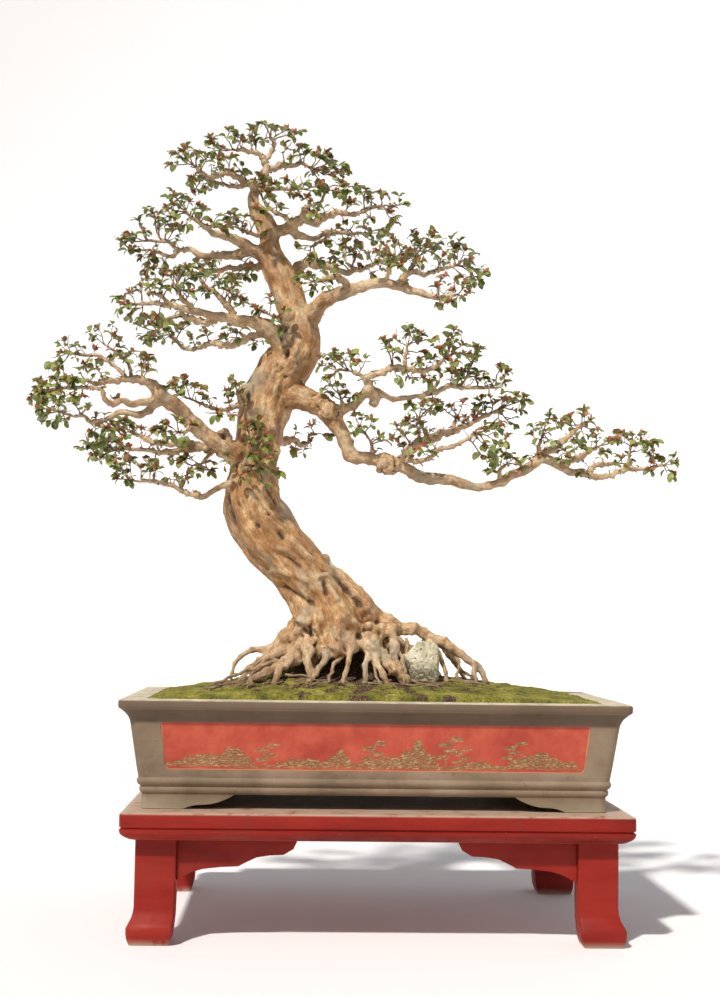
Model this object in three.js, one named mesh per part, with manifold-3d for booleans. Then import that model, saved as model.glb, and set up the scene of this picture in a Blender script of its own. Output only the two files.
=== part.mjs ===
// Crape myrtle bonsai, planted in a rectangular unglazed pot that stands on a red lacquered stand.
// Millimetres, +Z up. While it is built, x is 0 at the middle of the stand, y is 0 at the middle of the
// pot with the front at -y, and z is 0 where the stand's feet meet the ground.
import * as THREE from 'three';
import { mergeVertices } from 'three/addons/utils/BufferGeometryUtils.js';
import Module from 'manifold-3d';

const wasm = await Module();
wasm.setup();
const { Manifold, Mesh: ManifoldMesh } = wasm;

// Driving sizes
const GAP = 0.3; // left between pieces that touch
const SEED = 20;

const STAND = {
  halfLength: 445,
  front: -268,
  back: 330,
  top: 224,
  thickness: 47,
  cornerRadius: 12,
  legWidth: 71,
  legDepth: 45,
  overhang: 31, // the board reaches this far past the legs' front faces
  legOuter: 419, // from the middle of the stand to a leg's outer face
  bracketThickness: 20,
  bracketLength: 207,
  sideBracketLength: 150,
};

const POT = {
  middleX: -5,
  rimHalfLength: 450,
  depthLess: 205, // half the length less half the depth, the same all the way up
  bottom: 224.3,
  bodyBottom: 250,
  rimTop: 415,
  cornerRadius: 14,
  mouthHalfLength: 405,
  cavityFloorHalfLength: 394,
  floorTop: 270,
  footLength: 77,
  drainRadius: 12,
  drainX: 200,
};

const PANEL = {
  top: 376,
  bottom: 293,
  topHalfLength: 377,
  bottomHalfLength: 369,
  depth: 3,
  cornerRadius: 12,
  sideShorter: 172, // the side panels are this much shorter each way than the front one
};

const SOIL = {
  edge: 413,
  crown: 35, // how much higher the mound is in the middle
  crestY: 40,
  heap: { height: 42, x: -15, y: 38, reach: 105, depth: 42 }, // soil heaped up behind the roots
};

const LEAF = { length: 19, width: 10, thickness: 0.8 };
const TWIG_WIDTH = 2.4;
const PAIRED_FROM = 42; // a shoot longer than this has a pair of leaves below the one at its end
const SHOOT_SPACING = 36; // tips nearer than this to another make one shoot

// Each route below was read off the photograph by hand, one point at each bend: [x, y, z, radius].
const LIMBS = {
  trunk: [
    [-69, 0, 490, 62.8], [-79, 0, 526, 64], [-92, 0, 562, 62], [-113, 0, 603, 58],
    [-151, -3, 657, 53], [-200, -7, 713, 57.5], [-228, -10, 752, 57.5], [-238, -10, 786, 55.3],
    [-236, -6, 836, 47.8], [-229, 0, 887, 45.1], [-223, 4, 938, 47.2], [-210, 6, 981, 50.2],
    [-186, 4, 1023, 50.2], [-159, 0, 1065, 44.4], [-152, 0, 1099, 38.7], [-153, 0, 1134, 32.9]
  ],
  leader: [
    [-153, 0, 1114, 32.9], [-163, 2, 1144, 32], [-173, 6, 1178, 31.1], [-187, 10, 1212, 30.2],
    [-204, 12, 1244, 28.2], [-212, 10, 1271, 22.4], [-212, 8, 1298, 20.5], [-222, 6, 1323, 20.5],
    [-240, 4, 1348, 17.1], [-247, 2, 1371, 12.9], [-241, 2, 1393, 11.3], [-228, 4, 1422, 10.1],
    [-223, 5, 1444, 8.2]
  ],
  right_top: [
    [-148, -4, 1102, 25.1], [-130, -12, 1136, 19.3], [-115, -20, 1162, 17.3], [-88, -28, 1176, 16.3],
    [-58, -36, 1185, 13.8], [-28, -44, 1196, 12.6], [6, -52, 1197, 11.4], [37, -58, 1190, 10.5],
    [61, -64, 1182, 9.5], [83, -70, 1171, 8.3], [106, -75, 1169, 6.4]
  ],
  right_back: [
    [-175, 14, 1199, 15.6], [-161, 36, 1235, 13.8], [-143, 54, 1257, 11.9], [-115, 76, 1259, 9.2],
    [-83, 94, 1258, 7.6], [-52, 108, 1252, 6.5]
  ],
  right_high: [
    [-205, 4, 1305, 12.6], [-187, -8, 1308, 11.6], [-173, -16, 1318, 12.8], [-164, -21, 1325, 11.2]
  ],
  right_high_low: [
    [-173, -14, 1315, 10.5], [-162, 0, 1301, 9.7], [-148, 14, 1299, 7.8], [-125, 28, 1303, 6.7],
    [-109, 37, 1316, 5.7]
  ],
  left_high: [
    [-213, 8, 1249, 17.5], [-239, 0, 1262, 13.6], [-258, -10, 1275, 12.8], [-275, -22, 1283, 10.8],
    [-297, -34, 1287, 9.6], [-320, -44, 1292, 7.6], [-338, -52, 1299, 5.9]
  ],
  left_high_back: [
    [-252, -4, 1270, 11.6], [-272, 14, 1266, 10.9], [-296, 32, 1264, 9.8], [-323, 48, 1266, 8.3],
    [-353, 62, 1272, 7.9], [-374, 72, 1284, 7.2], [-390, 80, 1282, 5.8]
  ],
  left_mid: [
    [-163, -4, 1070, 30.9], [-188, -18, 1085, 23], [-208, -28, 1104, 18.4], [-225, -36, 1115, 15.3],
    [-248, -46, 1123, 13.3], [-266, -56, 1116, 12.5], [-288, -66, 1120, 11.3], [-312, -76, 1123, 9.8],
    [-334, -86, 1128, 8.6], [-358, -94, 1131, 7.5], [-382, -102, 1133, 6.1]
  ],
  left_mid_bottom: [
    [-221, -32, 1109, 10.3], [-238, -20, 1099, 8.8], [-250, -11, 1095, 8.1]
  ],
  low_left: [
    [-247, -18, 862, 26.7], [-282, -44, 877, 19.8], [-317, -64, 893, 17.3], [-345, -80, 912, 16.4],
    [-370, -96, 939, 16], [-393, -108, 957, 15.2], [-413, -116, 971, 12.9], [-428, -122, 984, 10.7],
    [-442, -128, 990, 8.1]
  ],
  low_left_mid: [
    [-408, -110, 959, 10.3], [-428, -126, 948, 8.8], [-445, -136, 948, 7.7], [-459, -144, 943, 7.6],
    [-469, -150, 948, 6.5], [-481, -156, 943, 6.9], [-491, -160, 935, 6.2]
  ],
  low_left_low: [
    [-405, -104, 954, 10.4], [-424, -94, 947, 9.3], [-438, -84, 939, 8.6], [-453, -76, 931, 8.6],
    [-471, -66, 937, 7.1], [-489, -58, 940, 6.6], [-507, -50, 929, 6.8], [-522, -44, 924, 5.8]
  ],
  low_left_back: [
    [-259, 6, 841, 15.4], [-288, 26, 868, 10.8], [-308, 36, 880, 9.5]
  ],
  low_left_bottom: [
    [-257, -16, 804, 15.2], [-287, -42, 804, 9.1], [-301, -52, 799, 7.3], [-315, -60, 788, 7.1],
    [-328, -68, 780, 7.1], [-345, -78, 783, 6.1]
  ],
  low_right: [
    [-197, 0, 996, 38.5], [-166, -12, 985, 28.8], [-139, -20, 977, 23.9], [-112, -28, 963, 21.9],
    [-87, -36, 941, 20], [-71, -44, 916, 17.1], [-62, -52, 886, 16.1], [-50, -58, 863, 16],
    [-26, -62, 861, 13.6], [-1, -64, 856, 15.1], [21, -66, 852, 15.8], [44, -66, 847, 13.2],
    [69, -64, 832, 12.4], [97, -62, 824, 12.1], [126, -58, 825, 11.7], [155, -54, 816, 11.7],
    [184, -50, 813, 10.2], [213, -46, 818, 10.2], [238, -42, 828, 10.6], [263, -38, 840, 11],
    [291, -34, 855, 11.5], [316, -30, 869, 10.7], [332, -26, 866, 11.1], [351, -22, 853, 10],
    [376, -18, 846, 8.5], [400, -14, 847, 7.3]
  ],
  right_inner: [
    [-77, -38, 949, 12.2], [-61, -54, 957, 10.6], [-46, -68, 966, 9.8], [-34, -82, 978, 10.1],
    [-25, -92, 990, 10.8], [-18, -98, 996, 8.6]
  ],
  right_inner_low: [
    [-25, -91, 988, 10.1], [-8, -84, 985, 9.4], [8, -76, 981, 7.5], [33, -64, 976, 6.2],
    [62, -52, 982, 5.9], [86, -42, 986, 5.5]
  ],
  right_behind: [
    [33, -60, 855, 10.2], [53, -36, 875, 9.1], [68, -20, 887, 9]
  ],
  stub_inner: [
    [-17, -90, 986, 9.4], [-8, -84, 970, 10.5], [-15, -84, 957, 8.6]
  ],
  stub_left: [
    [-223, 4, 969, 23.1], [-253, -22, 980, 20.1], [-268, -38, 989, 11.4]
  ],
  shoulder: [
    [-105, -8, 677, 6], [-93, -8, 661, 11], [-80, -8, 646, 14.3], [-58, -6, 625, 18.1],
    [-35, -4, 603, 20], [-17, -2, 580, 19.1], [-2, 2, 557, 17.2]
  ],
};

const ROOTS = {
  root_far_left: [
    [-146, -4, 546, 24.7], [-170, -12, 521, 16.1], [-198, -20, 506, 9.4], [-226, -26, 500, 7.5],
    [-247, -32, 490, 6], [-261, -38, 472, 5.2], [-271, -44, 435, 4.5]
  ],
  root_left_a: [
    [-150, -22, 525, 18.9], [-177, -36, 499, 13.1], [-201, -48, 484, 9.3], [-223, -58, 471, 7.4],
    [-244, -68, 456, 5.9], [-266, -78, 425, 4.4]
  ],
  root_left_b: [
    [-138, -40, 514, 16.9], [-164, -58, 488, 11.2], [-187, -72, 472, 9.3], [-211, -84, 459, 7.4],
    [-232, -94, 443, 5.9], [-246, -102, 409, 4.7]
  ],
  root_left_c: [
    [-130, -50, 500, 14.9], [-156, -76, 480, 9.2], [-172, -92, 469, 8.1], [-183, -104, 451, 7.3],
    [-193, -114, 410, 5.5]
  ],
  root_post: [
    [-124, -36, 544, 16.9], [-125, -66, 509, 11.2], [-125, -82, 473, 9.2], [-124, -92, 439, 8.5],
    [-125, -100, 399, 9.1]
  ],
  root_mid_a: [
    [-56, -30, 545, 18.9], [-49, -60, 516, 10.1], [-54, -76, 487, 7.4], [-58, -86, 459, 6.6],
    [-65, -96, 410, 5.5]
  ],
  root_mid_b: [
    [-37, -26, 534, 18.9], [-19, -54, 511, 11.2], [-4, -72, 487, 8.5], [10, -88, 464, 7.4],
    [27, -104, 405, 6.2]
  ],
  root_front_big: [
    [-25, -16, 531, 24.6], [-1, -44, 503, 15], [24, -66, 478, 13], [46, -84, 453, 12.2],
    [69, -100, 405, 10.3]
  ],
  root_right_in: [
    [17, -8, 539, 17.1], [36, -24, 518, 11.3], [41, -36, 491, 9.4], [44, -46, 469, 8.2],
    [59, -60, 421, 7.1]
  ],
  root_right_big: [
    [-60, 4, 570, 24.8], [-11, 6, 567, 23], [20, 6, 554, 19.1], [49, 8, 543, 15.3], [83, 8, 538, 13.8],
    [110, 6, 527, 12.2], [137, 2, 512, 10.7], [159, -4, 497, 9.5], [182, -10, 484, 8.8],
    [200, -16, 471, 8], [211, -24, 425, 6]
  ],
  root_right_toe: [
    [178, -8, 486, 7.6], [188, -24, 468, 6.1], [187, -36, 425, 4.9]
  ],
  root_right_b: [
    [119, 14, 521, 9.6], [142, 34, 498, 7.7], [161, 48, 474, 7], [190, 60, 428, 5.4]
  ],
  root_right_c: [
    [106, 4, 521, 9.6], [124, -10, 493, 6.8], [131, -22, 469, 6.1], [138, -32, 424, 5.3]
  ],
  root_back_left: [
    [-108, 20, 541, 26.9], [-142, 64, 513, 17.5], [-173, 104, 484, 11.8], [-209, 136, 459, 9.1],
    [-241, 160, 414, 6.8]
  ],
  root_back_mid: [
    [-73, 30, 529, 28.9], [-68, 78, 502, 17.6], [-54, 118, 477, 11.9], [-41, 150, 429, 8]
  ],
  root_back_right: [
    [-24, 20, 546, 28.8], [21, 64, 526, 17.6], [63, 104, 503, 11.9], [110, 134, 479, 9.6],
    [153, 158, 431, 6.8]
  ],
  root_far_left_low: [
    [-168, -14, 514, 11.9], [-194, -34, 492, 7.5], [-220, -38, 478, 5.9], [-240, -44, 462, 4.8],
    [-253, -50, 421, 4.2]
  ],
  root_left_low: [
    [-128, -44, 502, 14.1], [-160, -66, 472, 8.3], [-196, -84, 458, 6.6], [-226, -98, 446, 5.2],
    [-250, -106, 409, 4.3]
  ],
  root_front_low: [
    [-96, -38, 504, 14.2], [-98, -64, 476, 8.2], [-108, -84, 456, 6.2], [-122, -100, 444, 5.1],
    [-137, -112, 405, 4.4]
  ],
  root_mid_c: [
    [-12, -34, 522, 15.3], [-17, -60, 493, 8.4], [-22, -80, 464, 6.7], [-27, -95, 408, 5.7]
  ],
};

// Swellings where old branches were cut: [x, y, z, radius].
const BURLS = [
  [13, -72, 850, 21.6],
  [-97, -44, 955, 18],
  [-292, -48, 900, 13.2],
  [-176, -34, 1038, 17.2],
  [-131, -46, 559, 15],
  [-79, -50, 545, 18.7],
  [-6, -22, 533, 18.9],
  [-110, -22, 524, 20],
  [-70, -26, 515, 23],
  [-30, -26, 516, 19],
  [6, -18, 522, 15],
];

// The leafy sprays: the routes of their thin stems, and where each shoot ends.
const SPRAYS = {
  crown: {
    stems: [[
      [-225, 5, 1438, 7.4], [-233, 0, 1456, 6.2], [-254, -10, 1462, 5.1], [-283, -18, 1461, 3.5]
    ], [
      [-227, 4, 1450, 5.9], [-214, 8, 1469, 4.7], [-210, 8, 1485, 4.1], [-216, 6, 1495, 3.5]
    ]],
    tips: [
      [-331, -26, 1471], [-326, -2, 1465], [-301, -40, 1479], [-282, 8, 1497], [-257, 0, 1508],
      [-250, 22, 1497], [-232, -8, 1523], [-215, 10, 1522], [-187, -14, 1505], [-167, 16, 1507],
      [-234, 24, 1496]
    ],
  },
  top_left: {
    stems: [[
      [-237, 0, 1396, 9], [-253, -10, 1397, 8.1], [-268, -18, 1396, 7.4], [-279, -24, 1406, 6.6],
      [-294, -30, 1412, 6], [-309, -36, 1406, 5.6], [-326, -42, 1399, 4.8], [-343, -50, 1404, 4],
      [-356, -58, 1413, 3.2]
    ], [
      [-268, -16, 1395, 6.2], [-282, 8, 1396, 4.9], [-303, 28, 1405, 3.7]
    ]],
    tips: [
      [-403, -64, 1414], [-392, -86, 1429], [-378, -50, 1450], [-353, -34, 1448], [-363, -76, 1381],
      [-357, -48, 1371], [-336, -30, 1381], [-334, -80, 1426], [-318, -10, 1449], [-288, -50, 1435],
      [-322, 44, 1411], [-345, 60, 1428], [-314, 66, 1450], [-272, 30, 1432]
    ],
  },
  top_right: {
    stems: [[
      [-226, 4, 1426, 8.6], [-207, 12, 1437, 7.6], [-192, 18, 1445, 6.5], [-176, 24, 1445, 5.3],
      [-159, 28, 1453, 4.7], [-141, 30, 1446, 3.7]
    ]],
    tips: [
      [-190, 4, 1479], [-161, 22, 1485], [-172, -16, 1451], [-151, 50, 1476], [-125, -10, 1456],
      [-108, 22, 1473], [-93, 48, 1463], [-78, 8, 1445], [-64, 28, 1435], [-92, -8, 1416],
      [-118, 44, 1425], [-134, 70, 1444]
    ],
  },
  leader_right: {
    stems: [[
      [-241, 0, 1390, 6.2], [-219, -22, 1385, 4.8], [-190, -38, 1381, 4.2], [-159, -50, 1378, 3.6]
    ]],
    tips: [
      [-203, -74, 1379], [-148, -74, 1381], [-130, -46, 1376], [-115, -60, 1380], [-180, -84, 1383],
      [-166, -66, 1361]
    ],
  },
  right_high_low: {
    stems: [[
      [-113, 36, 1312, 5.5], [-89, 50, 1324, 4.6], [-61, 60, 1321, 4], [-33, 68, 1326, 3.2]
    ], [
      [-97, 45, 1319, 4.3], [-112, 20, 1296, 3.8], [-130, 6, 1282, 3.1]
    ]],
    tips: [
      [-82, 30, 1325], [-48, 46, 1342], [-26, 92, 1341], [1, 64, 1330], [16, 88, 1332], [-16, 44, 1304],
      [-42, 76, 1308], [-71, 54, 1299], [-159, -8, 1279], [-138, -18, 1256], [-118, 10, 1255],
      [-101, -6, 1287]
    ],
  },
  right_back_end: {
    stems: [[
      [-61, 104, 1253, 6.4], [-30, 120, 1265, 5.1], [-3, 128, 1278, 4.1]
    ], [
      [-44, 114, 1259, 5], [-60, 104, 1272, 3.6]
    ]],
    tips: [
      [-90, 84, 1286], [-63, 106, 1288], [-95, 116, 1273], [-43, 112, 1288], [-17, 142, 1302],
      [-33, 94, 1300], [10, 156, 1289], [-9, 132, 1256], [-71, 120, 1308]
    ],
  },
  right_top_left: {
    stems: [[
      [6, -52, 1197, 6.1], [13, -56, 1219, 4.6], [22, -60, 1238, 3.6]
    ]],
    tips: [
      [3, -64, 1271], [25, -40, 1286], [16, -96, 1240], [42, -70, 1261], [-5, -80, 1232], [33, -110, 1218],
      [-7, -30, 1264], [49, -30, 1255]
    ],
  },
  right_top_up: {
    stems: [[
      [29, -55, 1195, 7.6], [45, -34, 1217, 6.2], [68, -10, 1233, 5.6], [89, 8, 1228, 5.1],
      [108, 24, 1242, 4.5], [131, 34, 1251, 4.1], [151, 44, 1258, 3.4]
    ], [
      [56, -20, 1227, 4.6], [66, -6, 1252, 3.5]
    ]],
    tips: [
      [68, -6, 1303], [76, -30, 1283], [63, 34, 1283], [72, -40, 1244], [45, 20, 1269], [103, 14, 1313],
      [101, 40, 1294], [114, 10, 1291], [143, 44, 1310], [123, -4, 1265], [149, 66, 1293], [169, 30, 1287],
      [185, 58, 1282], [183, 26, 1248], [210, 48, 1246], [203, 72, 1235], [175, 36, 1224]
    ],
  },
  right_top_end: {
    stems: [[
      [98, -73, 1169, 6.1], [122, -82, 1170, 4.7], [141, -88, 1171, 3.4]
    ]],
    tips: [
      [114, -60, 1207], [104, -94, 1182], [140, -76, 1200], [154, -104, 1186], [156, -70, 1171],
      [129, -112, 1152], [111, -84, 1154]
    ],
  },
  right_top_inner: {
    stems: [[
      [-62, -36, 1185, 8.8], [-72, -56, 1202, 7.4], [-95, -74, 1203, 6.1], [-118, -90, 1191, 4.7]
    ]],
    tips: [
      [-148, -98, 1183], [-154, -80, 1198], [-129, -108, 1168], [-103, -110, 1177], [-139, -122, 1194],
      [-112, -60, 1215], [-87, -100, 1216]
    ],
  },
  left_high_near: {
    stems: [[
      [-226, 6, 1301, 6.6], [-243, -10, 1297, 4.8], [-258, -16, 1301, 3.9], [-273, -20, 1305, 3.1]
    ]],
    tips: [
      [-291, -34, 1330], [-299, -10, 1319], [-263, -40, 1323], [-240, -44, 1315], [-281, 14, 1330]
    ],
  },
  left_high_end: {
    stems: [[
      [-333, -50, 1296, 5.7], [-351, -60, 1308, 4.4], [-365, -64, 1316, 3.4]
    ], [
      [-338, -52, 1299, 4.4], [-316, -70, 1297, 3.4]
    ]],
    tips: [
      [-406, -72, 1348], [-396, -42, 1359], [-404, -94, 1322], [-379, -60, 1342], [-348, -88, 1329],
      [-341, -50, 1330], [-395, -104, 1303], [-370, -84, 1292], [-321, -96, 1297], [-302, -84, 1286],
      [-293, -56, 1301]
    ],
  },
  left_high_back: {
    stems: [[
      [-382, 76, 1283, 6], [-402, 78, 1289, 4.6], [-414, 76, 1299, 4], [-434, 72, 1301, 3.6],
      [-453, 68, 1300, 3.2]
    ], [
      [-394, 78, 1287, 4.8], [-411, 92, 1276, 4.2], [-436, 100, 1284, 3.8], [-453, 106, 1291, 3.2]
    ]],
    tips: [
      [-450, 60, 1356], [-439, 88, 1360], [-474, 50, 1335], [-426, 104, 1346], [-493, 72, 1312],
      [-512, 54, 1295], [-500, 88, 1285], [-461, 30, 1306], [-408, 50, 1316], [-473, 114, 1278],
      [-481, 92, 1285], [-470, 124, 1250], [-459, 100, 1265], [-432, 126, 1270], [-432, 92, 1247]
    ],
  },
  left_high_low: {
    stems: [[
      [-225, 16, 1242, 9], [-253, 34, 1246, 6.3], [-277, 50, 1245, 5.7], [-297, 62, 1249, 5.7],
      [-316, 72, 1245, 5], [-336, 80, 1243, 4.4], [-354, 86, 1252, 3.6]
    ]],
    tips: [
      [-361, 92, 1265], [-375, 70, 1248], [-399, 98, 1245], [-341, 60, 1258], [-324, 96, 1271],
      [-350, 112, 1242], [-270, 22, 1255], [-278, 30, 1226], [-258, 18, 1220], [-296, 44, 1221]
    ],
  },
  left_mid_end: {
    stems: [[
      [-373, -98, 1132, 6.2], [-403, -108, 1135, 5], [-427, -112, 1136, 4.3], [-451, -112, 1135, 3.5]
    ], [
      [-391, -104, 1134, 4.6], [-406, -116, 1146, 3.9], [-426, -124, 1154, 3.3]
    ]],
    tips: [
      [-488, -126, 1142], [-470, -98, 1158], [-433, -132, 1176], [-451, -90, 1174], [-423, -156, 1158],
      [-486, -92, 1127], [-471, -130, 1129], [-466, -104, 1114], [-448, -84, 1116], [-415, -118, 1112],
      [-405, -120, 1187], [-391, -150, 1158]
    ],
  },
  left_mid_top: {
    stems: [[
      [-353, -92, 1132, 5.6], [-371, -98, 1149, 4.7], [-380, -102, 1167, 3.7]
    ]],
    tips: [
      [-405, -86, 1204], [-383, -80, 1204], [-359, -100, 1210], [-365, -132, 1172], [-346, -126, 1187],
      [-356, -134, 1155]
    ],
  },
  left_mid_upper: {
    stems: [[
      [-273, -60, 1117, 8.3], [-281, -62, 1134, 7], [-297, -66, 1152, 6.2], [-316, -68, 1172, 5.1],
      [-331, -70, 1181, 4.2], [-342, -74, 1193, 3.4]
    ], [
      [-289, -64, 1145, 4.5], [-284, -52, 1163, 3.4]
    ]],
    tips: [
      [-345, -60, 1212], [-323, -88, 1210], [-304, -50, 1200], [-286, -74, 1200], [-275, -94, 1179],
      [-319, -98, 1162], [-334, -50, 1172], [-264, -70, 1150], [-270, -34, 1171], [-290, -24, 1181]
    ],
  },
  left_mid_low: {
    stems: [[
      [-309, -72, 1120, 8.3], [-332, -58, 1113, 7.2], [-358, -42, 1123, 6.3], [-380, -30, 1131, 5.2],
      [-398, -20, 1128, 4.2], [-414, -12, 1118, 3.5], [-425, -6, 1107, 3.1]
    ]],
    tips: [
      [-466, -8, 1116], [-458, 12, 1098], [-445, -16, 1084], [-436, -34, 1111], [-443, 10, 1133],
      [-412, -50, 1114], [-398, 24, 1122], [-435, 34, 1107]
    ],
  },
  trunk_tuft: {
    stems: [[
      [-168, -20, 1114, 5.8], [-189, -40, 1125, 3.8], [-210, -46, 1133, 3]
    ]],
    tips: [
      [-237, -52, 1145], [-224, -32, 1140], [-208, -58, 1154], [-183, -64, 1138], [-196, -72, 1122],
      [-188, -56, 1107]
    ],
  },
  low_left_up: {
    stems: [[
      [-435, -124, 989, 7.7], [-456, -132, 991, 7.1], [-472, -138, 990, 6.4], [-487, -144, 985, 6],
      [-506, -150, 982, 5.1], [-522, -154, 979, 4.2], [-538, -158, 984, 3.4]
    ], [
      [-468, -136, 990, 4.8], [-482, -132, 1007, 3.8], [-499, -126, 1021, 3.7], [-523, -120, 1036, 3.5],
      [-549, -114, 1037, 3.1], [-570, -108, 1041, 2.8]
    ], [
      [-456, -132, 991, 4.2], [-468, -126, 1025, 3.1], [-486, -120, 1041, 2.8], [-507, -116, 1054, 2.4]
    ]],
    tips: [
      [-524, -122, 1085], [-535, -106, 1071], [-497, -112, 1076], [-588, -102, 1063], [-586, -124, 1038],
      [-611, -92, 1026], [-596, -114, 1010], [-544, -142, 1016], [-520, -96, 1030], [-499, -92, 1038],
      [-459, -104, 1046], [-432, -124, 1034], [-428, -144, 1007], [-474, -156, 1024], [-445, -104, 1018],
      [-549, -156, 1000], [-514, -176, 999], [-556, -180, 978], [-575, -148, 990]
    ],
  },
  low_left_far: {
    stems: [[
      [-486, -158, 939, 6], [-502, -164, 949, 4.9], [-507, -168, 964, 4.2], [-524, -172, 967, 3.8],
      [-549, -174, 966, 3.6], [-574, -176, 966, 3.1]
    ]],
    tips: [
      [-632, -178, 946], [-621, -172, 980], [-604, -200, 967], [-626, -150, 965], [-591, -184, 980],
      [-592, -214, 950], [-567, -206, 974], [-556, -196, 947], [-545, -150, 955], [-610, -140, 950]
    ],
  },
  low_left_low: {
    stems: [[
      [-516, -46, 926, 5.7], [-542, -38, 923, 4.5], [-558, -32, 935, 3.8], [-582, -26, 935, 3],
      [-602, -20, 943, 2.7]
    ], [
      [-532, -41, 923, 4.3], [-518, -54, 913, 3.9], [-503, -60, 909, 3.4]
    ]],
    tips: [
      [-653, -10, 961], [-637, -34, 946], [-641, 0, 935], [-620, -46, 937], [-613, -18, 926],
      [-599, 12, 932], [-617, 22, 966], [-572, -54, 954], [-554, -10, 959], [-537, -70, 900],
      [-516, -54, 887], [-506, -90, 902], [-490, -44, 910], [-479, -92, 919]
    ],
  },
  low_left_bottom: {
    stems: [[
      [-336, -74, 781, 6.3], [-353, -80, 786, 5.4], [-371, -86, 794, 5], [-387, -90, 801, 4.6],
      [-409, -96, 806, 4.2], [-429, -102, 807, 3.7], [-447, -106, 806, 2.9]
    ], [
      [-366, -84, 791, 4.1], [-372, -78, 808, 3]
    ]],
    tips: [
      [-490, -114, 838], [-465, -96, 844], [-480, -132, 811], [-461, -112, 805], [-480, -88, 826],
      [-438, -122, 829], [-425, -96, 841], [-409, -140, 831], [-399, -66, 814], [-375, -94, 816],
      [-361, -60, 814], [-354, -80, 825]
    ],
  },
  low_left_over: {
    stems: [[
      [-260, -30, 964, 6.9], [-280, -48, 951, 4.7], [-304, -58, 949, 4.1], [-326, -64, 954, 3.4],
      [-347, -68, 962, 2.8]
    ], [
      [-264, -34, 965, 4.4], [-269, -50, 985, 3.4]
    ]],
    tips: [
      [-406, -74, 988], [-386, -94, 986], [-369, -62, 1004], [-377, -48, 976], [-346, -88, 984],
      [-324, -42, 974], [-304, -80, 935], [-275, -68, 935], [-281, -54, 1005], [-270, -70, 994],
      [-285, -38, 983]
    ],
  },
  low_left_inner: {
    stems: [[
      [-350, -84, 917, 5.6], [-357, -104, 901, 4.1], [-369, -114, 897, 3.3]
    ]],
    tips: [
      [-393, -118, 909], [-388, -106, 889], [-373, -136, 915], [-360, -130, 881], [-403, -92, 901]
    ],
  },
  trunk_front: {
    stems: [[
      [-261, -30, 826, 6.4], [-253, -58, 844, 4.9], [-243, -70, 862, 3.9], [-238, -76, 876, 3.2]
    ], [
      [-255, -54, 839, 4.5], [-230, -68, 836, 3.6]
    ]],
    tips: [
      [-250, -76, 916], [-226, -64, 914], [-212, -86, 895], [-247, -94, 885], [-216, -58, 879],
      [-237, -104, 858], [-204, -84, 852], [-248, -84, 819], [-218, -96, 843], [-191, -64, 830],
      [-210, -90, 808], [-286, -80, 847]
    ],
  },
  back: {
    stems: [[
      [-203, 26, 902, 10.5], [-180, 54, 904, 7.8], [-161, 84, 908, 6.7], [-145, 108, 901, 4.8],
      [-131, 118, 911, 3.6], [-131, 120, 925, 3.2], [-115, 124, 928, 2.6]
    ]],
    tips: [
      [-97, 128, 925], [-161, 96, 893], [-157, 74, 927], [-143, 140, 891], [-128, 140, 946]
    ],
  },
  right_inner_up: {
    stems: [[
      [-21, -95, 993, 9.3], [-29, -102, 1003, 7.3], [-13, -108, 1012, 7.4], [3, -112, 1019, 7.2],
      [22, -116, 1024, 6.7], [44, -120, 1024, 6.5], [66, -122, 1020, 6.1], [88, -124, 1021, 5.2],
      [103, -128, 1031, 4.4], [117, -132, 1042, 3.7]
    ], [
      [-29, -102, 1003, 5.4], [-39, -110, 1011, 4.1], [-54, -114, 1016, 3.2]
    ], [
      [44, -120, 1026, 4.8], [44, -118, 1045, 3.7], [47, -116, 1061, 3]
    ]],
    tips: [
      [-112, -124, 1024], [-93, -102, 1043], [-83, -128, 1052], [-58, -92, 1053], [-29, -120, 1039],
      [-81, -136, 1011], [4, -122, 1074], [24, -100, 1082], [18, -142, 1055], [46, -110, 1086],
      [55, -128, 1094], [73, -96, 1089], [66, -140, 1034], [30, -142, 1000], [58, -104, 1006],
      [78, -110, 1055], [96, -130, 1078], [123, -122, 1084], [132, -142, 1091], [151, -124, 1069],
      [105, -162, 1053], [162, -110, 1055], [87, -144, 997], [132, -152, 1032]
    ],
  },
  right_inner_low: {
    stems: [[
      [76, -46, 983, 5.7], [109, -34, 995, 5.5], [131, -28, 1005, 5.2], [157, -20, 1006, 4.6],
      [183, -12, 1006, 4.1], [209, -6, 1008, 3.5], [233, 0, 1009, 2.7]
    ], [
      [94, -40, 990, 4.6], [116, -24, 1016, 3.5]
    ]],
    tips: [
      [186, -12, 1090], [180, -34, 1061], [166, 12, 1043], [193, 24, 1043], [234, -4, 1049],
      [252, 16, 1041], [241, -26, 1015], [220, 26, 1029], [155, -52, 1019], [119, -6, 1037],
      [139, -38, 1030], [92, -56, 1009]
    ],
  },
  right_inner_tuft: {
    stems: [[
      [-64, -52, 951, 5.7], [-71, -64, 968, 3.8]
    ]],
    tips: [
      [-98, -64, 1008], [-81, -86, 995], [-93, -46, 984], [-64, -76, 980], [-49, -96, 972]
    ],
  },
  right_elbow_tuft: {
    stems: [[
      [-13, -66, 865, 5.3], [-16, -80, 890, 3], [-31, -88, 909, 2.4]
    ]],
    tips: [
      [-47, -94, 938], [-36, -104, 914], [-12, -82, 925], [-51, -116, 903], [1, -74, 902], [19, -92, 894]
    ],
  },
  right_front: {
    stems: [[
      [44, -68, 851, 6.8], [46, -92, 867, 4.7], [54, -102, 881, 3.5]
    ], [
      [44, -84, 860, 5.6], [72, -96, 854, 5.4], [97, -106, 863, 4.8], [113, -112, 875, 4.8],
      [135, -118, 882, 4.4], [154, -124, 891, 4.1], [172, -128, 901, 3.5]
    ]],
    tips: [
      [31, -104, 916], [43, -124, 900], [72, -92, 897], [36, -88, 888], [92, -112, 890], [65, -128, 871],
      [92, -136, 867], [185, -110, 912], [187, -142, 882], [209, -130, 869], [192, -118, 859],
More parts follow.
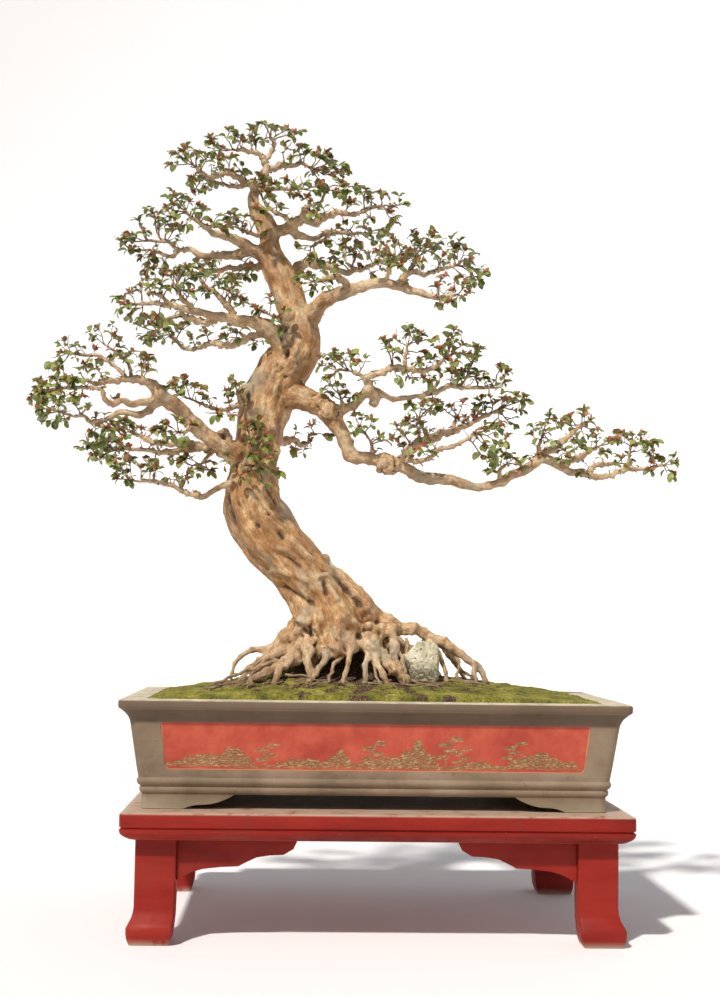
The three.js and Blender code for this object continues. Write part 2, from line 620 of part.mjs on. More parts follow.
      [224, -146, 883], [217, -126, 915]
    ],
  },
  right_under_tuft: {
    stems: [[
      [232, -42, 826, 6.5], [230, -58, 842, 4], [239, -66, 852, 3]
    ]],
    tips: [
      [243, -72, 869], [209, -62, 841], [217, -86, 854], [252, -92, 861], [267, -52, 854]
    ],
  },
  right_front_end: {
    stems: [[
      [350, -24, 855, 7.7], [366, -44, 865, 6.3], [379, -58, 869, 5.5], [393, -72, 877, 4.7],
      [408, -84, 886, 3.8]
    ]],
    tips: [
      [350, -70, 881], [367, -56, 898], [338, -92, 861], [381, -94, 884], [409, -78, 905],
      [425, -102, 897], [446, -84, 902], [416, -108, 874]
    ],
  },
  right_end: {
    stems: [[
      [390, -16, 847, 7.5], [417, -10, 838, 6.7], [441, -6, 839, 6.2], [465, 0, 848, 5.6],
      [488, 4, 856, 5], [512, 6, 857, 4.3], [534, 8, 859, 3.5], [558, 10, 866, 2.7]
    ], [
      [407, -12, 844, 5.8], [420, 8, 861, 5.6], [445, 24, 867, 5.1], [469, 36, 869, 3.9]
    ], [
      [479, 2, 854, 4.3], [490, 6, 876, 3.1], [494, 6, 900, 2.5]
    ]],
    tips: [
      [477, -2, 924], [472, 14, 912], [496, 6, 923], [513, -6, 908], [539, 16, 909], [513, -14, 892],
      [537, 24, 885], [527, -10, 852], [554, 34, 878], [565, 10, 850], [580, 6, 882], [584, -10, 868],
      [577, 2, 844], [487, 54, 885], [499, 40, 874], [441, 44, 885]
    ],
  },
  right_high_end: {
    stems: [[
      [-170, -18, 1322, 11.2], [-149, -28, 1326, 8.9], [-133, -34, 1317, 8.8], [-118, -40, 1323, 9.6],
      [-99, -46, 1330, 7.7], [-78, -52, 1333, 5.9], [-55, -58, 1328, 4.8], [-30, -60, 1337, 4],
      [-4, -58, 1346, 3.2]
    ], [
      [-158, -24, 1328, 5.4], [-149, -34, 1342, 4], [-134, -40, 1350, 3.6], [-115, -44, 1357, 3.3],
      [-105, -44, 1385, 2.5]
    ], [
      [-158, -24, 1326, 5.4], [-175, -36, 1319, 5], [-189, -40, 1327, 4.6], [-202, -40, 1335, 4.2],
      [-216, -38, 1345, 3.8], [-228, -36, 1361, 3.1]
    ]],
    tips: [
      [-82, -40, 1375], [-68, -72, 1372], [-50, -50, 1385], [-40, -88, 1362], [-56, -20, 1364],
      [-24, -70, 1362], [3, -34, 1375], [43, -50, 1352], [16, -24, 1343], [22, -46, 1319],
      [-22, -84, 1314], [-113, -64, 1340], [-137, -62, 1332], [-145, -24, 1370], [-130, -78, 1322],
      [-200, -56, 1346], [-220, -52, 1370], [-230, -54, 1398], [-245, -48, 1388], [-229, -60, 1332]
    ],
  },
  low_left_back: {
    stems: [[
      [-300, 32, 876, 9.7], [-320, 42, 884, 8.8], [-344, 54, 889, 8.6], [-374, 68, 896, 7.7],
      [-405, 82, 899, 6.9], [-430, 92, 898, 6.1], [-450, 100, 906, 5.4], [-471, 106, 917, 4.4],
      [-491, 110, 927, 3.6]
    ], [
      [-346, 55, 889, 7.8], [-367, 46, 884, 6.8], [-385, 38, 881, 6.4], [-404, 32, 876, 6.2],
      [-423, 28, 873, 5.4], [-444, 24, 878, 4.4], [-468, 20, 879, 3.7], [-491, 16, 878, 3.1]
    ], [
      [-318, 41, 882, 5.4], [-326, 26, 867, 4.3], [-337, 20, 854, 3.3]
    ]],
    tips: [
      [-507, 114, 905], [-529, 124, 922], [-490, 96, 939], [-518, 132, 941], [-476, 134, 934],
      [-492, 84, 910], [-444, 112, 922], [-563, 12, 878], [-561, 34, 893], [-538, -2, 881],
      [-527, 18, 866], [-518, 38, 865], [-497, 2, 888], [-517, 54, 882], [-542, -10, 863], [-482, 40, 869],
      [-428, 6, 853], [-378, 10, 853], [-398, 56, 865], [-361, 6, 866], [-344, 44, 851], [-353, 14, 838],
      [-318, -4, 854], [-326, 40, 841], [-317, 60, 904]
    ],
  },
  left_mid_bottom: {
    stems: [[
      [-240, -17, 1098, 8.4], [-256, -6, 1091, 7.5], [-276, 10, 1084, 7.4], [-304, 26, 1089, 6.8],
      [-332, 42, 1091, 6.1], [-350, 54, 1087, 5.1], [-369, 64, 1082, 4.3], [-389, 72, 1093, 4],
      [-406, 78, 1110, 3.6]
    ], [
      [-254, -8, 1093, 5.4], [-267, -20, 1102, 3.6]
    ]],
    tips: [
      [-426, 88, 1107], [-451, 98, 1113], [-366, 52, 1104], [-396, 92, 1131], [-378, 66, 1134],
      [-414, 60, 1120], [-400, 108, 1106], [-336, 30, 1110], [-294, -26, 1097], [-276, -40, 1087],
      [-287, -6, 1112], [-261, -34, 1109], [-240, -34, 1077]
    ],
  },
  right_end_up: {
    stems: [[
      [299, -30, 859, 9.6], [322, -8, 881, 8.5], [343, 12, 893, 7.8], [359, 30, 908, 6.7],
      [373, 42, 919, 6.1], [394, 56, 935, 4.9], [405, 64, 948, 3.8]
    ], [
      [313, -17, 872, 6.1], [305, -38, 887, 4.6], [310, -46, 904, 3.4]
    ]],
    tips: [
      [382, 60, 963], [416, 82, 977], [422, 50, 957], [431, 74, 936], [392, 92, 948], [418, 92, 930],
      [396, 60, 914], [326, -50, 949], [316, -30, 934], [347, -60, 933], [313, -74, 917], [291, -44, 913],
      [281, -60, 869], [327, -80, 898]
    ],
  },
  right_behind: {
    stems: [[
      [61, -27, 882, 9], [74, -14, 891, 8.8], [99, 8, 908, 8.9], [124, 28, 921, 8.2], [149, 44, 929, 7.1],
      [171, 56, 939, 6.1], [198, 68, 953, 5.1], [221, 78, 965, 4.4], [244, 86, 978, 3.8]
    ], [
      [149, 44, 929, 4.9], [157, 54, 952, 3.7]
    ], [
      [99, 8, 908, 5.8], [92, 20, 929, 4.5], [84, 28, 945, 3.5]
    ]],
    tips: [
      [128, 60, 976], [146, 38, 975], [172, 70, 989], [192, 48, 980], [177, 92, 962], [212, 82, 1001],
      [206, 102, 978], [231, 60, 986], [261, 92, 999], [278, 70, 1001], [300, 86, 997], [293, 104, 980],
      [276, 82, 948], [252, 112, 958], [67, 32, 975], [58, 42, 943], [84, 10, 970], [118, 38, 983],
      [102, 58, 969], [79, 64, 938]
    ],
  },
};

const COLOURS = {
  bark: 0xb88a5c,
  leaf: 0x77883c,
  soil: 0x7a7434,
  rock: 0x9a9a84,
  pot: 0x7d6a55,
  screen: 0x3a3a38,
  stand: 0x9c2c20,
};

// General helpers

function seeded(seed) {
  let state = seed;
  return () => {
    state = (state + 0x6d2b79f5) | 0;
    let t = Math.imul(state ^ (state >>> 15), 1 | state);
    t = (t + Math.imul(t ^ (t >>> 7), 61 | t)) ^ t;
    return ((t ^ (t >>> 14)) >>> 0) / 4294967296;
  };
}

function closedSolid(points, triangles) {
  return new Manifold(new ManifoldMesh({
    numProp: 3,
    vertProperties: new Float32Array(points.flatMap((p) => [p.x, p.y, p.z])),
    triVerts: new Uint32Array(triangles.flat()),
  }));
}

function fromGeometry(geometry) {
  geometry.deleteAttribute('normal');
  geometry.deleteAttribute('uv');
  const merged = mergeVertices(geometry, 1e-4);
  return new Manifold(new ManifoldMesh({
    numProp: 3,
    vertProperties: new Float32Array(merged.attributes.position.array),
    triVerts: new Uint32Array(merged.index.array),
  }));
}

// A skin over rings that each turn the same way round, closed at both ends.
function loft(rings) {
  const count = rings[0].length;
  const points = rings.flat();
  const triangles = [];
  for (let r = 0; r < rings.length - 1; r++) {
    for (let i = 0; i < count; i++) {
      const a = r * count + i;
      const b = r * count + ((i + 1) % count);
      triangles.push([a, b, b + count], [a, b + count, a + count]);
    }
  }
  for (let i = 1; i < count - 1; i++) {
    const last = (rings.length - 1) * count;
    triangles.push([0, i + 1, i], [last, last + i, last + i + 1]);
  }
  return closedSolid(points, triangles);
}

function box(low, high) {
  const size = high.map((value, i) => value - low[i]);
  return Manifold.cube(size).translate(low);
}

// Extrudes a flat outline of [across, up] points along Y, from one y to another.
function slab(outline, fromY, toY) {
  const shape = new THREE.Shape(outline.map(([x, z]) => new THREE.Vector2(x, z)));
  const geometry = new THREE.ExtrudeGeometry(shape, { depth: toY - fromY, bevelEnabled: false });
  geometry.rotateX(Math.PI / 2);
  geometry.translate(0, toY, 0);
  return fromGeometry(geometry);
}

// A rectangle with round corners, as a ring of points at one height.
function roundedRing(halfX, lowY, highY, z, radius, steps) {
  const corners = [
    [halfX - radius, highY - radius, 0],
    [-halfX + radius, highY - radius, 1],
    [-halfX + radius, lowY + radius, 2],
    [halfX - radius, lowY + radius, 3],
  ];
  return corners.flatMap(([x, y, quarter]) => Array.from({ length: steps + 1 }, (_, i) => {
    const angle = (quarter + i / steps) * Math.PI / 2;
    return new THREE.Vector3(x + radius * Math.cos(angle), y + radius * Math.sin(angle), z);
  }));
}

// A tube along a route of [x, y, z, radius] points. Each ring lies in the plane that halves the bend.
// grow makes it fatter and longer all round, and lobes raises that many flutes along it.
function tube(route, sides, grow = 0, lobes = 0) {
  const points = route.map(([x, y, z]) => new THREE.Vector3(x, y, z));
  const last = points.length - 1;
  const headings = points.map((_, i) => points[Math.min(i + 1, last)].clone()
    .sub(points[Math.max(i - 1, 0)]).normalize());
  points[0].addScaledVector(headings[0], -grow);
  points[last].addScaledVector(headings[last], grow);
  const side = new THREE.Vector3(Math.abs(headings[0].x) < 0.8 ? 1 : 0, 0, 0);
  if (side.x === 0) side.y = 1;
  const rings = points.map((point, i) => {
    side.addScaledVector(headings[i], -side.dot(headings[i])).normalize();
    const other = headings[i].clone().cross(side);
    return Array.from({ length: sides }, (_, k) => {
      const angle = (2 * Math.PI * k) / sides;
      const flute = lobes ? 1 + 0.06 * Math.cos(lobes * angle + 0.35 * i) : 1;
      const radius = (route[i][3] + grow) * flute;
      return point.clone()
        .addScaledVector(side, radius * Math.cos(angle))
        .addScaledVector(other, radius * Math.sin(angle));
    });
  });
  return loft(rings);
}

function joined(pieces) {
  return Manifold.union(pieces);
}

function largestBody(body) {
  return body.decompose().reduce((most, piece) => (piece.volume() > most.volume() ? piece : most));
}

// The tree's own wood: trunk, limbs and surface roots, grown as one piece

function sidesFor(radius) {
  if (radius > 40) return 10;
  return radius > 20 ? 7 : 6;
}

function treeWood(grow) {
  const tubes = [...Object.values(LIMBS), ...Object.values(ROOTS)].map((route) => {
    const widest = Math.max(...route.map((point) => point[3]));
    return tube(route, sidesFor(widest), grow, widest > 40 ? 4 : 0);
  });
  const burls = BURLS.map(([x, y, z, radius]) => fromGeometry(
    new THREE.IcosahedronGeometry(radius + grow, 1).translate(x, y, z)));
  return joined([...tubes, ...burls]);
}

// Leafy sprays

function insideWood(point, margin) {
  const routes = [...Object.values(LIMBS), ...Object.values(ROOTS)];
  return routes.some((route) => route.slice(1).some((end, i) => {
    const a = new THREE.Vector3(...route[i].slice(0, 3));
    const b = new THREE.Vector3(...end.slice(0, 3));
    const share = THREE.MathUtils.clamp(
      point.clone().sub(a).dot(b.clone().sub(a)) / a.distanceToSquared(b), 0, 1);
    const radius = route[i][3] + (end[3] - route[i][3]) * share;
    return point.distanceTo(a.lerp(b, share)) < radius + margin;
  }));
}

// Places along a spray's stems where a shoot may leave, each with its distance from the spray's foot.
function budPlaces(stems) {
  const step = 7;
  const places = [];
  stems.forEach((route, number) => {
    const start = new THREE.Vector3(...route[0].slice(0, 3));
    let travelled = 0;
    if (number > 0 && places.length > 0) {
      travelled = places.reduce((best, place) => (
        place.point.distanceTo(start) < best.point.distanceTo(start) ? place : best)).travelled;
    }
    for (let i = 1; i < route.length; i++) {
      const a = new THREE.Vector3(...route[i - 1].slice(0, 3));
      const b = new THREE.Vector3(...route[i].slice(0, 3));
      const length = a.distanceTo(b);
      const count = Math.max(1, Math.round(length / step));
      for (let k = 1; k <= count; k++) {
        const point = a.clone().lerp(b, k / count - 0.04);
        if (!insideWood(point, 2.5)) places.push({ point, travelled: travelled + (length * k) / count });
      }
      travelled += length;
    }
  });
  return places;
}

// The flat outline of a leafy shoot, as [along, across] points: a twig with paired leaves
// and one at its end.
function shootOutline(length) {
  const half = TWIG_WIDTH / 2;
  const blade = Math.min(LEAF.length, 0.8 * length);
  const sideLeaf = (base) => [
    [base - 3, half], [base + 6, 11], [base + 14, 16], [base + 4, half],
  ];
  const flank = (stagger) => {
    const points = [[0, half]];
    if (length > PAIRED_FROM) points.push(...sideLeaf(length - blade - 9 + stagger));
    points.push([length - blade, half], [length - 0.5 * blade, LEAF.width / 2]);
    return points;
  };
  const left = flank(0);
  const right = flank(-4).map(([along, across]) => [along, -across]);
  return [...right, [length, 0], ...left.toReversed()];
}

// A leafy shoot as one thin arched blade, cut to that outline, whose foot is sunk in the stem.
function shoot(foot, tip, roll, grow = 0) {
  const along = tip.clone().sub(foot);
  const length = along.length();
  along.normalize();
  const flat = new THREE.Vector3(0, 0, 1).cross(along);
  if (flat.length() < 0.3) flat.set(1, 0, 0);
  flat.addScaledVector(along, -flat.dot(along)).normalize().applyAxisAngle(along, roll);
  const up = along.clone().cross(flat);
  const outline = shootOutline(length);
  const count = outline.length;
  const place = ([s, across], i, thickness) => {
    const [s0, a0] = outline[(i + count - 1) % count];
    const [s1, a1] = outline[(i + 1) % count];
    const edge = Math.hypot(s1 - s0, a1 - a0);
    const outS = (grow * (a1 - a0)) / edge;
    const outA = (-grow * (s1 - s0)) / edge;
    const arch = 2 * Math.sin((Math.PI * s) / length) - 0.012 * across * across;
    return foot.clone()
      .addScaledVector(along, s + outS)
      .addScaledVector(flat, across + outA)
      .addScaledVector(up, arch + thickness);
  };
  const thick = LEAF.thickness / 2 + grow;
  const points = [
    ...outline.map((point, i) => place(point, i, -thick)),
    ...outline.map((point, i) => place(point, i, thick)),
  ];
  const drawn = outline.map(([s, across]) => new THREE.Vector2(s, across));
  const face = THREE.ShapeUtils.triangulateShape(drawn, []);
  const triangles = face.flatMap(([a, b, c]) => [[a, c, b], [a + count, b + count, c + count]]);
  for (let i = 0; i < count; i++) {
    const next = (i + 1) % count;
    triangles.push([i, next, next + count], [i, next + count, i + count]);
  }
  return closedSolid(points, triangles);
}

function boundsMeet(a, b) {
  return [0, 1, 2].every((i) => a.min[i] < b.max[i] && b.min[i] < a.max[i]);
}

function sprayBodies(fatWood) {
  const random = seeded(SEED);
  const placed = [];
  const stemsOf = {};
  for (const [name, { stems }] of Object.entries(SPRAYS)) {
    stemsOf[name] = stems.map((route) => tube(route, 4));
    stems.forEach((route) => {
      const fat = tube(route, 4, 2 * GAP);
      placed.push({ name, fat, bounds: fat.boundingBox(), isStem: true });
    });
  }
  const isClear = (name, fat) => {
    const bounds = fat.boundingBox();
    return placed.every((other) => (other.isStem && other.name === name)
      || !boundsMeet(bounds, other.bounds)
      || other.fat.intersect(fat).isEmpty());
  };
  return Object.entries(SPRAYS).map(([name, { stems, tips }]) => {
    const places = budPlaces(stems);
    const shoots = [];
    const start = new THREE.Vector3(...stems[0][0].slice(0, 3));
    const ends = tips.map((tip) => new THREE.Vector3(...tip))
      .sort((a, b) => b.distanceTo(start) - a.distanceTo(start));
    const kept = [];
    for (const tip of ends) {
      if (kept.some((other) => other.distanceTo(tip) < SHOOT_SPACING)) continue;
      const cost = (place) => place.point.distanceTo(tip) + 0.3 * place.travelled;
      const foot = places.reduce((best, place) => (cost(place) < cost(best) ? place : best)).point;
      const firstRoll = (random() - 0.5) * 1.2;
      for (let attempt = 0; attempt < 4; attempt++) {
        const roll = firstRoll + attempt * Math.PI / 4;
        const fat = shoot(foot, tip, roll, GAP);
        if (isClear(name, fat)) {
          placed.push({ name, fat, bounds: fat.boundingBox() });
          shoots.push(shoot(foot, tip, roll));
          kept.push(tip);
          break;
        }
      }
    }
    return [name, largestBody(joined([...stemsOf[name], ...shoots]).subtract(fatWood))];
  });
}

// Soil and the stone on it

function soilHeight(x, y) {
  const past = SOIL.crestY - y;
  const fall = past > 0 ? 1 - (past / 285) ** 1.9 : 1 - (past / 205) ** 2;
  const across = 1 - (Math.abs(x - POT.middleX) / POT.mouthHalfLength) ** 2.2;
  const { height, x: heapX, y: heapY, reach, depth } = SOIL.heap;
  const heap = height * Math.exp(-(((x - heapX) / reach) ** 2) - ((y - heapY) / depth) ** 2);
  return SOIL.edge + SOIL.crown * Math.max(0, across) * Math.max(0, fall) + heap;
}

function cavityRing(z, shrink) {
  const share = (z - POT.floorTop) / (POT.rimTop - POT.floorTop);
  const half = THREE.MathUtils.lerp(POT.cavityFloorHalfLength, POT.mouthHalfLength, share) - shrink;
  return potRing(half, half - POT.depthLess, z, 10);
}

function potRing(half, halfDepth, z, radius = POT.cornerRadius) {
  return roundedRing(half, -halfDepth, halfDepth, z, radius, 3)
    .map((point) => point.setX(point.x + POT.middleX));
}

// The same ring with more points along its four straight sides.
function withSidePoints(ring) {
  const perCorner = ring.length / 4;
  return ring.flatMap((point, i) => {
    if (i % perCorner !== perCorner - 1) return [point];
    const next = ring[(i + 1) % ring.length];
    const count = Math.abs(next.x - point.x) > Math.abs(next.y - point.y) ? 10 : 5;
    return Array.from({ length: count }, (_, k) => point.clone().lerp(next, k / count));
  });
}

function soilBody(cutters) {
  const bottom = withSidePoints(cavityRing(POT.floorTop + GAP, GAP));
  const rim = withSidePoints(cavityRing(SOIL.edge, GAP));
  const middle = new THREE.Vector3(POT.middleX, 0, 0);
  const rings = [1, 0.9, 0.76, 0.62, 0.48, 0.36, 0.25, 0.13].map((scale) => rim.map((point) => {
    const x = middle.x + (point.x - middle.x) * scale;
    const y = point.y * scale;
    return new THREE.Vector3(x, y, scale === 1 ? SOIL.edge : soilHeight(x, y));
  }));
  return largestBody(loft([bottom, ...rings]).subtract(joined(cutters)));
}

function rockBody(grow) {
  const geometry = new THREE.IcosahedronGeometry(1, 1);
  geometry.scale(36 + grow, 26 + grow, 43 + grow);
  const place = geometry.attributes.position;
  for (let i = 0; i < place.count; i++) {
    const up = place.getZ(i) / 43;
    const across = place.getX(i) / 36;
    const notch = up > 0.5 ? 9 * Math.max(0, 1 - Math.abs(across) * 2.6) : 0;
    place.setX(i, place.getX(i) * (up < 0 ? 1 + 0.3 * up : 1));
    place.setZ(i, place.getZ(i) - notch);
  }
  geometry.translate(88, -34, 478);
  return fromGeometry(geometry);
}

// Pot

function potBody() {
  const profile = [
    [POT.bodyBottom, 409.5], [252, 412], [254, 413.5], [262, 413.5], [264, 412], [265, 415],
    [268, 417.5], [277, 417.5], [280, 416], [379, 431], [388, 434], [396, 443], [400, 450],
    [POT.rimTop - 2, POT.rimHalfLength], [POT.rimTop, POT.rimHalfLength - 2],
  ];
  const outside = loft(profile.map(([z, half]) => potRing(half, half - POT.depthLess, z)));
  const cavity = loft([cavityRing(POT.floorTop, 0), cavityRing(POT.rimTop + 1, 0)]);
  const holes = [-POT.drainX, POT.drainX].map((x) => Manifold
    .cylinder(60, POT.drainRadius, POT.drainRadius, 16)
    .translate([POT.middleX + x, 0, POT.floorTop - 40]));
  return largestBody(joined([outside, footRing()]).subtract(joined([cavity, ...holes, ...panels()])));
}

// The gap between two feet: its top corners curve down to the feet in two scallops.
function footGap(half) {
  const reach = half - POT.footLength;
  const right = [
    [reach, POT.bottom - 1], [reach, POT.bottom + 1], [reach - 10, 229], [reach - 23, 232],
    [reach - 40, 232.5], [reach - 58, 236], [reach - 70, 240], [reach - 80, 245],
    [reach - 88, POT.bodyBottom],
  ];
  return [...right, ...right.toReversed().map(([x, z]) => [-x, z])];
}

function footRing() {
  const outer = 411;
  const thickness = 26;
  const depth = outer - POT.depthLess;
  const ring = (half, z) => potRing(half, half - POT.depthLess, z);
  const band = loft([ring(outer, POT.bottom), ring(outer - 1.7, POT.bodyBottom + 0.4)])
    .subtract(loft([ring(outer - thickness, POT.bottom - 1), ring(outer - thickness, POT.bodyBottom + 1)]));
  const front = slab(footGap(outer), -400, 400).translate([POT.middleX, 0, 0]);
  const side = slab(footGap(depth), -600, 600).rotate([0, 0, 90]).translate([POT.middleX, 0, 0]);
  return band.subtract(front).subtract(side);
}

// A tapered outline with round lower corners, cut into the sloping wall to one depth.
function panelCut(topHalf, bottomHalf, wallHalf) {
  const slope = Math.atan2(431 - 416, 379 - 280);
  const height = (PANEL.top - PANEL.bottom) / Math.cos(slope);
  const radius = PANEL.cornerRadius;
  const corner = Array.from({ length: 5 }, (_, i) => {
    const angle = (i / 4) * Math.PI / 2;
    return [bottomHalf - radius + radius * Math.sin(angle), radius - radius * Math.cos(angle)];
  });
  const right = [...corner, [topHalf, height]];
  const outline = [...right.map(([x, z]) => [-x, z]).toReversed(), ...right];
  return slab(outline, -8, PANEL.depth)
    .rotate([(slope * 180) / Math.PI, 0, 0])
    .translate([0, -wallHalf, PANEL.bottom]);
}

function panels() {
  const halfAtBottom = 416 + ((PANEL.bottom - 280) * 15) / 99;
  const long = panelCut(PANEL.topHalfLength, PANEL.bottomHalfLength, halfAtBottom - POT.depthLess);
  const short = panelCut(
    PANEL.topHalfLength - POT.depthLess, PANEL.bottomHalfLength - POT.depthLess, halfAtBottom);
  return [
    long,
    long.rotate([0, 0, 180]),
    short.rotate([0, 0, 90]),
    short.rotate([0, 0, -90]),
  ].map((cut) => cut.translate([POT.middleX, 0, 0]));
}

// A square of mesh that keeps the soil in over a drain hole.
function drainScreen(x, grow) {
  const half = 20 + grow;
  const low = POT.floorTop + GAP - grow;
  const plate = box([x - half, -half, low], [x + half, half, low + 1.6 + 2 * grow]);
  if (grow > 0) return plate;
  const windows = [-7, 7].flatMap((across) => [-7, 7].map((deep) => box(
    [x + across - 5, deep - 5, low - 1], [x + across + 5, deep + 5, low + 4])));
  return plate.subtract(joined(windows));
}

// Stand

function standBoard() {
  const top = STAND.top;
  const low = STAND.top - STAND.thickness;
  const profile = [
    [low, 20], [low + 4, 11], [low + 10, 4], [low + 16, 0], [196, 0], [197, 3], [199, 3], [200, 0],
    [top - 6, 0], [top - 1.5, 2], [top, 5],
  ];
  return loft(profile.map(([z, inset]) => roundedRing(
    STAND.halfLength - inset, STAND.front + inset, STAND.back - inset, z, STAND.cornerRadius, 3)));
}

// One leg, for the front left corner; the others are mirrored from it.
function legBody() {
  const topZ = STAND.top - STAND.thickness - GAP;
  const outer = STAND.legOuter;
  const front = STAND.front + STAND.overhang;
  const levels = [
    // z, outer face out, inner face out, front face forward
    [0, 6, 62, 12], [12, 10, 66, 17], [29, 11, 68, 18], [44, 3, 69.5, 6], [62, 0, 70, 0],
    [110, 0, STAND.legWidth, 0], [topZ, 0, STAND.legWidth, 0],
  ];
  const bevel = 4;
  return loft(levels.map(([z, flare, inner, forward]) => {
    const x0 = -outer - flare;
    const x1 = -outer + inner;
    const y0 = front - forward;
    const y1 = front + STAND.legDepth;
    return [
      [x0 + bevel, y0], [x1 - bevel, y0], [x1, y0 + bevel], [x1, y1 - bevel],
      [x1 - bevel, y1], [x0 + bevel, y1], [x0, y1 - bevel], [x0, y0 + bevel],
    ].map(([x, y]) => new THREE.Vector3(x, y, z));
  }));
}

// A scrolled corner bracket, for the front left corner, that fills the angle of leg and board.
function bracketBody(length, thickness) {
  const top = STAND.top - STAND.thickness - GAP;
  const scroll = [
    [0, 70.7], [25, 57.5], [44, 51.5], [75, 48], [106, 46.5], [116, 41], [137, 31], [160, 27.5],
    [183, 26.5], [200, 16.5], [206, 4],
  ];
  const outline = [[0, top], ...scroll.map(([x, drop]) => [(x * length) / 206, top - drop]), [length, top]];
  return slab(outline, 0, thickness);
}

function standPieces() {
  const middleY = (STAND.front + STAND.back) / 2;
  const leg = legBody();
  const legInner = STAND.legOuter - STAND.legWidth - GAP;
  const front = bracketBody(STAND.bracketLength, STAND.bracketThickness)
    .translate([-legInner, STAND.front + STAND.overhang + 9, 0]);
  const side = bracketBody(STAND.sideBracketLength, STAND.bracketThickness)
    .rotate([0, 0, 90])
    .translate([
      -STAND.legOuter + 6 + STAND.bracketThickness,
      STAND.front + STAND.overhang + STAND.legDepth + GAP, 0,
    ]);
  const corners = { front_left: [0, 0], front_right: [1, 0], back_left: [0, 1], back_right: [1, 1] };
  const place = (body, [right, back]) => {
    let moved = body;
    if (right) moved = moved.mirror([1, 0, 0]);
    if (back) moved = moved.mirror([0, 1, 0]).translate([0, 2 * middleY, 0]);
    return moved;
  };
  const pieces = { stand_board: standBoard() };
  for (const [corner, where] of Object.entries(corners)) {
    pieces[`stand_leg_${corner}`] = place(leg, where);
    pieces[`stand_bracket_${corner}`] = place(front, where);
    pieces[`stand_side_bracket_${corner}`] = place(side, where);
  }
  return pieces;
}

// Meshes

function mesh(name, body, colour, roughness) {
  const { vertProperties, triVerts, numProp } = body.getMesh();
  const positions = new Float32Array((vertProperties.length / numProp) * 3);
  for (let i = 0; i < positions.length / 3; i++) {
    for (let k = 0; k < 3; k++) positions[i * 3 + k] = vertProperties[i * numProp + k];
  }
  const geometry = new THREE.BufferGeometry();
  geometry.setAttribute('position', new THREE.BufferAttribute(positions, 3));
  geometry.setIndex(new THREE.BufferAttribute(new Uint32Array(triVerts), 1));
  geometry.computeVertexNormals();
  const look = new THREE.MeshStandardMaterial({ color: colour, roughness, metalness: 0 });
  const made = new THREE.Mesh(geometry, look);
  made.name = name;
  return made;
}

function build() {
  const model = new THREE.Group();
  const fatWood = treeWood(GAP);
  model.add(mesh('tree_wood', largestBody(treeWood(0)), COLOURS.bark, 0.6));
  for (const [name, body] of sprayBodies(fatWood)) {
    model.add(mesh(`spray_${name}`, body, COLOURS.leaf, 0.5));
  }
  const screens = [-POT.drainX, POT.drainX].map((x) => x + POT.middleX);
  model.add(mesh('rock', largestBody(rockBody(0).subtract(fatWood)), COLOURS.rock, 0.85));
  const cutters = [fatWood, rockBody(GAP), ...screens.map((x) => drainScreen(x, GAP))];
  model.add(mesh('soil', soilBody(cutters), COLOURS.soil, 1));
  model.add(mesh('pot', potBody(), COLOURS.pot, 0.8));
  model.add(mesh('drain_screen_left', drainScreen(screens[0], 0), COLOURS.screen, 0.6));
  model.add(mesh('drain_screen_right', drainScreen(screens[1], 0), COLOURS.screen, 0.6));
  for (const [name, body] of Object.entries(standPieces())) {
    model.add(mesh(name, body, COLOURS.stand, 0.45));
  }
  return model;
}

const model = build();
const bounds = new THREE.Box3().setFromObject(model);
const middle = bounds.getCenter(new THREE.Vector3());
model.position.set(-middle.x, -middle.y, -bounds.min.z);

const group = new THREE.Group();
group.add(model);
export default group;
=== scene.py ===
"""Crape myrtle bonsai in an unglazed pot on a red lacquered stand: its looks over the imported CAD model.

Sizes are millimetres in the CAD source's own axes: x is 0 at the middle of the stand, y is 0 at the middle
of the pot with the front at -y, z is 0 where the stand's feet meet the ground. in_metres() turns them into
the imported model's metres."""
import math
import random
from itertools import product

import bmesh
import bpy
import numpy as np
from mathutils import Matrix, Vector


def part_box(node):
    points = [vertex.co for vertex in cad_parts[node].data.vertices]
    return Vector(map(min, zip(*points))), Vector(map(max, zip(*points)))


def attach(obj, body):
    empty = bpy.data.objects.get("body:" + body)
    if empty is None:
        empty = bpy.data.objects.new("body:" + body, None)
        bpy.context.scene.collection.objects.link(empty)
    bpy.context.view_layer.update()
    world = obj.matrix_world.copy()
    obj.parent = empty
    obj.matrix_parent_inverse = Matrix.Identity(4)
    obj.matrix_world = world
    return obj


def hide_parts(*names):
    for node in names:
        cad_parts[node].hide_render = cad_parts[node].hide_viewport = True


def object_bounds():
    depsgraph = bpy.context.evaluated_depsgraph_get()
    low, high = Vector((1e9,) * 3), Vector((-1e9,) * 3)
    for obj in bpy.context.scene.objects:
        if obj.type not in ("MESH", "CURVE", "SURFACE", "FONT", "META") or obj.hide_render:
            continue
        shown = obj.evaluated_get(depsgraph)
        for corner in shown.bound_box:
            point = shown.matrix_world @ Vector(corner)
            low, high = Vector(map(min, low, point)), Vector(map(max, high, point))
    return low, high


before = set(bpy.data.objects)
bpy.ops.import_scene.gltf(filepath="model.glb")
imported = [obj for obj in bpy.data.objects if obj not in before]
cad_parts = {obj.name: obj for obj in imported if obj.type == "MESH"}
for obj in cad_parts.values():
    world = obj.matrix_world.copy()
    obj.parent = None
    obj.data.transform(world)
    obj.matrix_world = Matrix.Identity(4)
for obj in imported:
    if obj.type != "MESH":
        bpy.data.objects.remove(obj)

# Driving values

